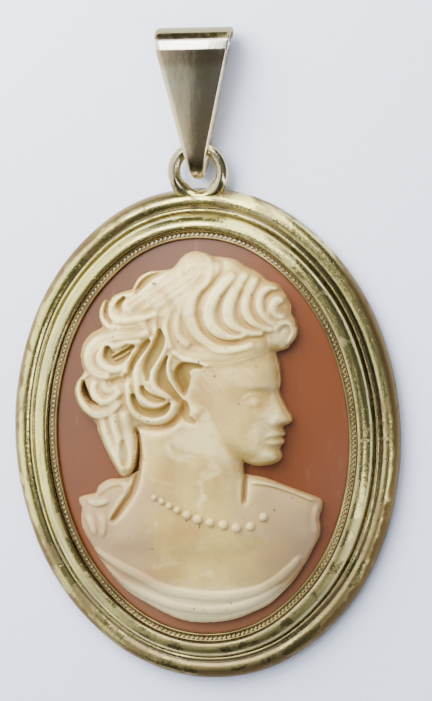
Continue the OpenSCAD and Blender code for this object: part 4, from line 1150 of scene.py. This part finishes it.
# Round panels: direction, where each begins and is full (as cosines), brightness
BRIGHT = [((-0.88, 0.05, 0.46), 0.56, 0.94, 2.1), ((-0.05, 0.49, 0.87), 0.955, 0.982, 3.2),
          ((-0.26, 0.27, 0.93), 0.976, 0.989, 8.0), ((-0.2, -0.5, 0.84), 0.75, 0.97, -0.12)]
# Tall panels: the way across one, its middle and half width, the way to it, how far down it hangs, brightness
TALL = [((0.9945, -0.1045, 0.0), 0.1, 0.19, (0.1045, 0.9945, 0.0), 0.38, 4.6),
        ((0.53, 0.848, 0.0), 0.0, 0.11, (0.848, -0.53, 0.0), 0.32, 5.0)]
ROOM_LOW, ROOM_TOP = 0.12, 0.12
world = bpy.data.worlds.new("studio")
world.use_nodes = True
sky = Tree(world.node_tree)
way = sky.node("ShaderNodeTexCoord")["Generated"]
height = sky.node("ShaderNodeSeparateXYZ", {}, (way,))["Z"]
strength = ROOM_LOW + height.between(0.5, 0.95) * ROOM_TOP


def toward(direction):
    """How far a way through the room turns towards a direction."""
    direction = tuple(np.array(direction) / np.linalg.norm(direction))
    return sky.node("ShaderNodeVectorMath", {"operation": "DOT_PRODUCT"}, (way, direction))["Value"]


for direction, edge, full, power in BRIGHT:
    strength = strength + toward(direction).between(edge, full) * power
for across, middle, half, ahead, start, power in TALL:
    panel = abs(toward(across) - middle).between(half * 1.25, half * 0.8)
    strength = strength + panel * toward(ahead).between(start, start + 0.14) * power
room = world.node_tree.nodes["Background"]
world.node_tree.links.new(strength.socket, room.inputs["Strength"])
room.inputs["Color"].default_value = (0.95, 0.97, 1.0, 1.0)
bpy.context.scene.world = world

WINDOW_PLACE, WINDOW_AIM, WINDOW_SIDE, WINDOW_POWER = (-0.05, 0.075, 0.075), (0.0, -0.004, 0.0), 0.1, 0.48
lamp = bpy.data.lights.new("window", "AREA")
lamp.shape, lamp.size = "SQUARE", WINDOW_SIDE
lamp.energy, lamp.color = WINDOW_POWER, (1.0, 0.985, 0.95)
window_light = put("window", lamp)
window_light.location = WINDOW_PLACE
window_light.rotation_euler = (Vector(WINDOW_AIM) - Vector(WINDOW_PLACE)).to_track_quat("-Z", "Y").to_euler()
window_light.visible_glossy = False

# ---- Camera: nearly straight above, a little to the right and the top, with a long lens. It aims a little
# above the shell's middle, and its view is as tall as the photograph at 11.83 pixels to the mm.
AIM = (1.22, 0.51, 1.6)
LEAN_X, LEAN_Y, DISTANCE, ROLL = 12.6, 6.5, 300.0, 1.3
SEEN_TALL = 701 / 11.83
SENSOR = 36.0
camera = put("camera", bpy.data.cameras.new("camera"))
away = np.array([math.tan(math.radians(LEAN_X)), math.tan(math.radians(LEAN_Y)), 1.0])
away /= np.linalg.norm(away)
eye = (np.array(AIM) + DISTANCE * away) * MM
up = np.array([math.sin(math.radians(ROLL)), math.cos(math.radians(ROLL)), 0.0])
right = np.cross(up, away)
right /= np.linalg.norm(right)
up = np.cross(away, right)
camera.matrix_world = Matrix([[*row] for row in zip(right, up, away, eye)] + [[0, 0, 0, 1]])
camera.data.sensor_fit = "VERTICAL"
camera.data.sensor_height = SENSOR
camera.data.lens = SENSOR * DISTANCE / SEEN_TALL
camera.data.clip_start, camera.data.clip_end = 0.01, 5.0
bpy.context.scene.camera = camera
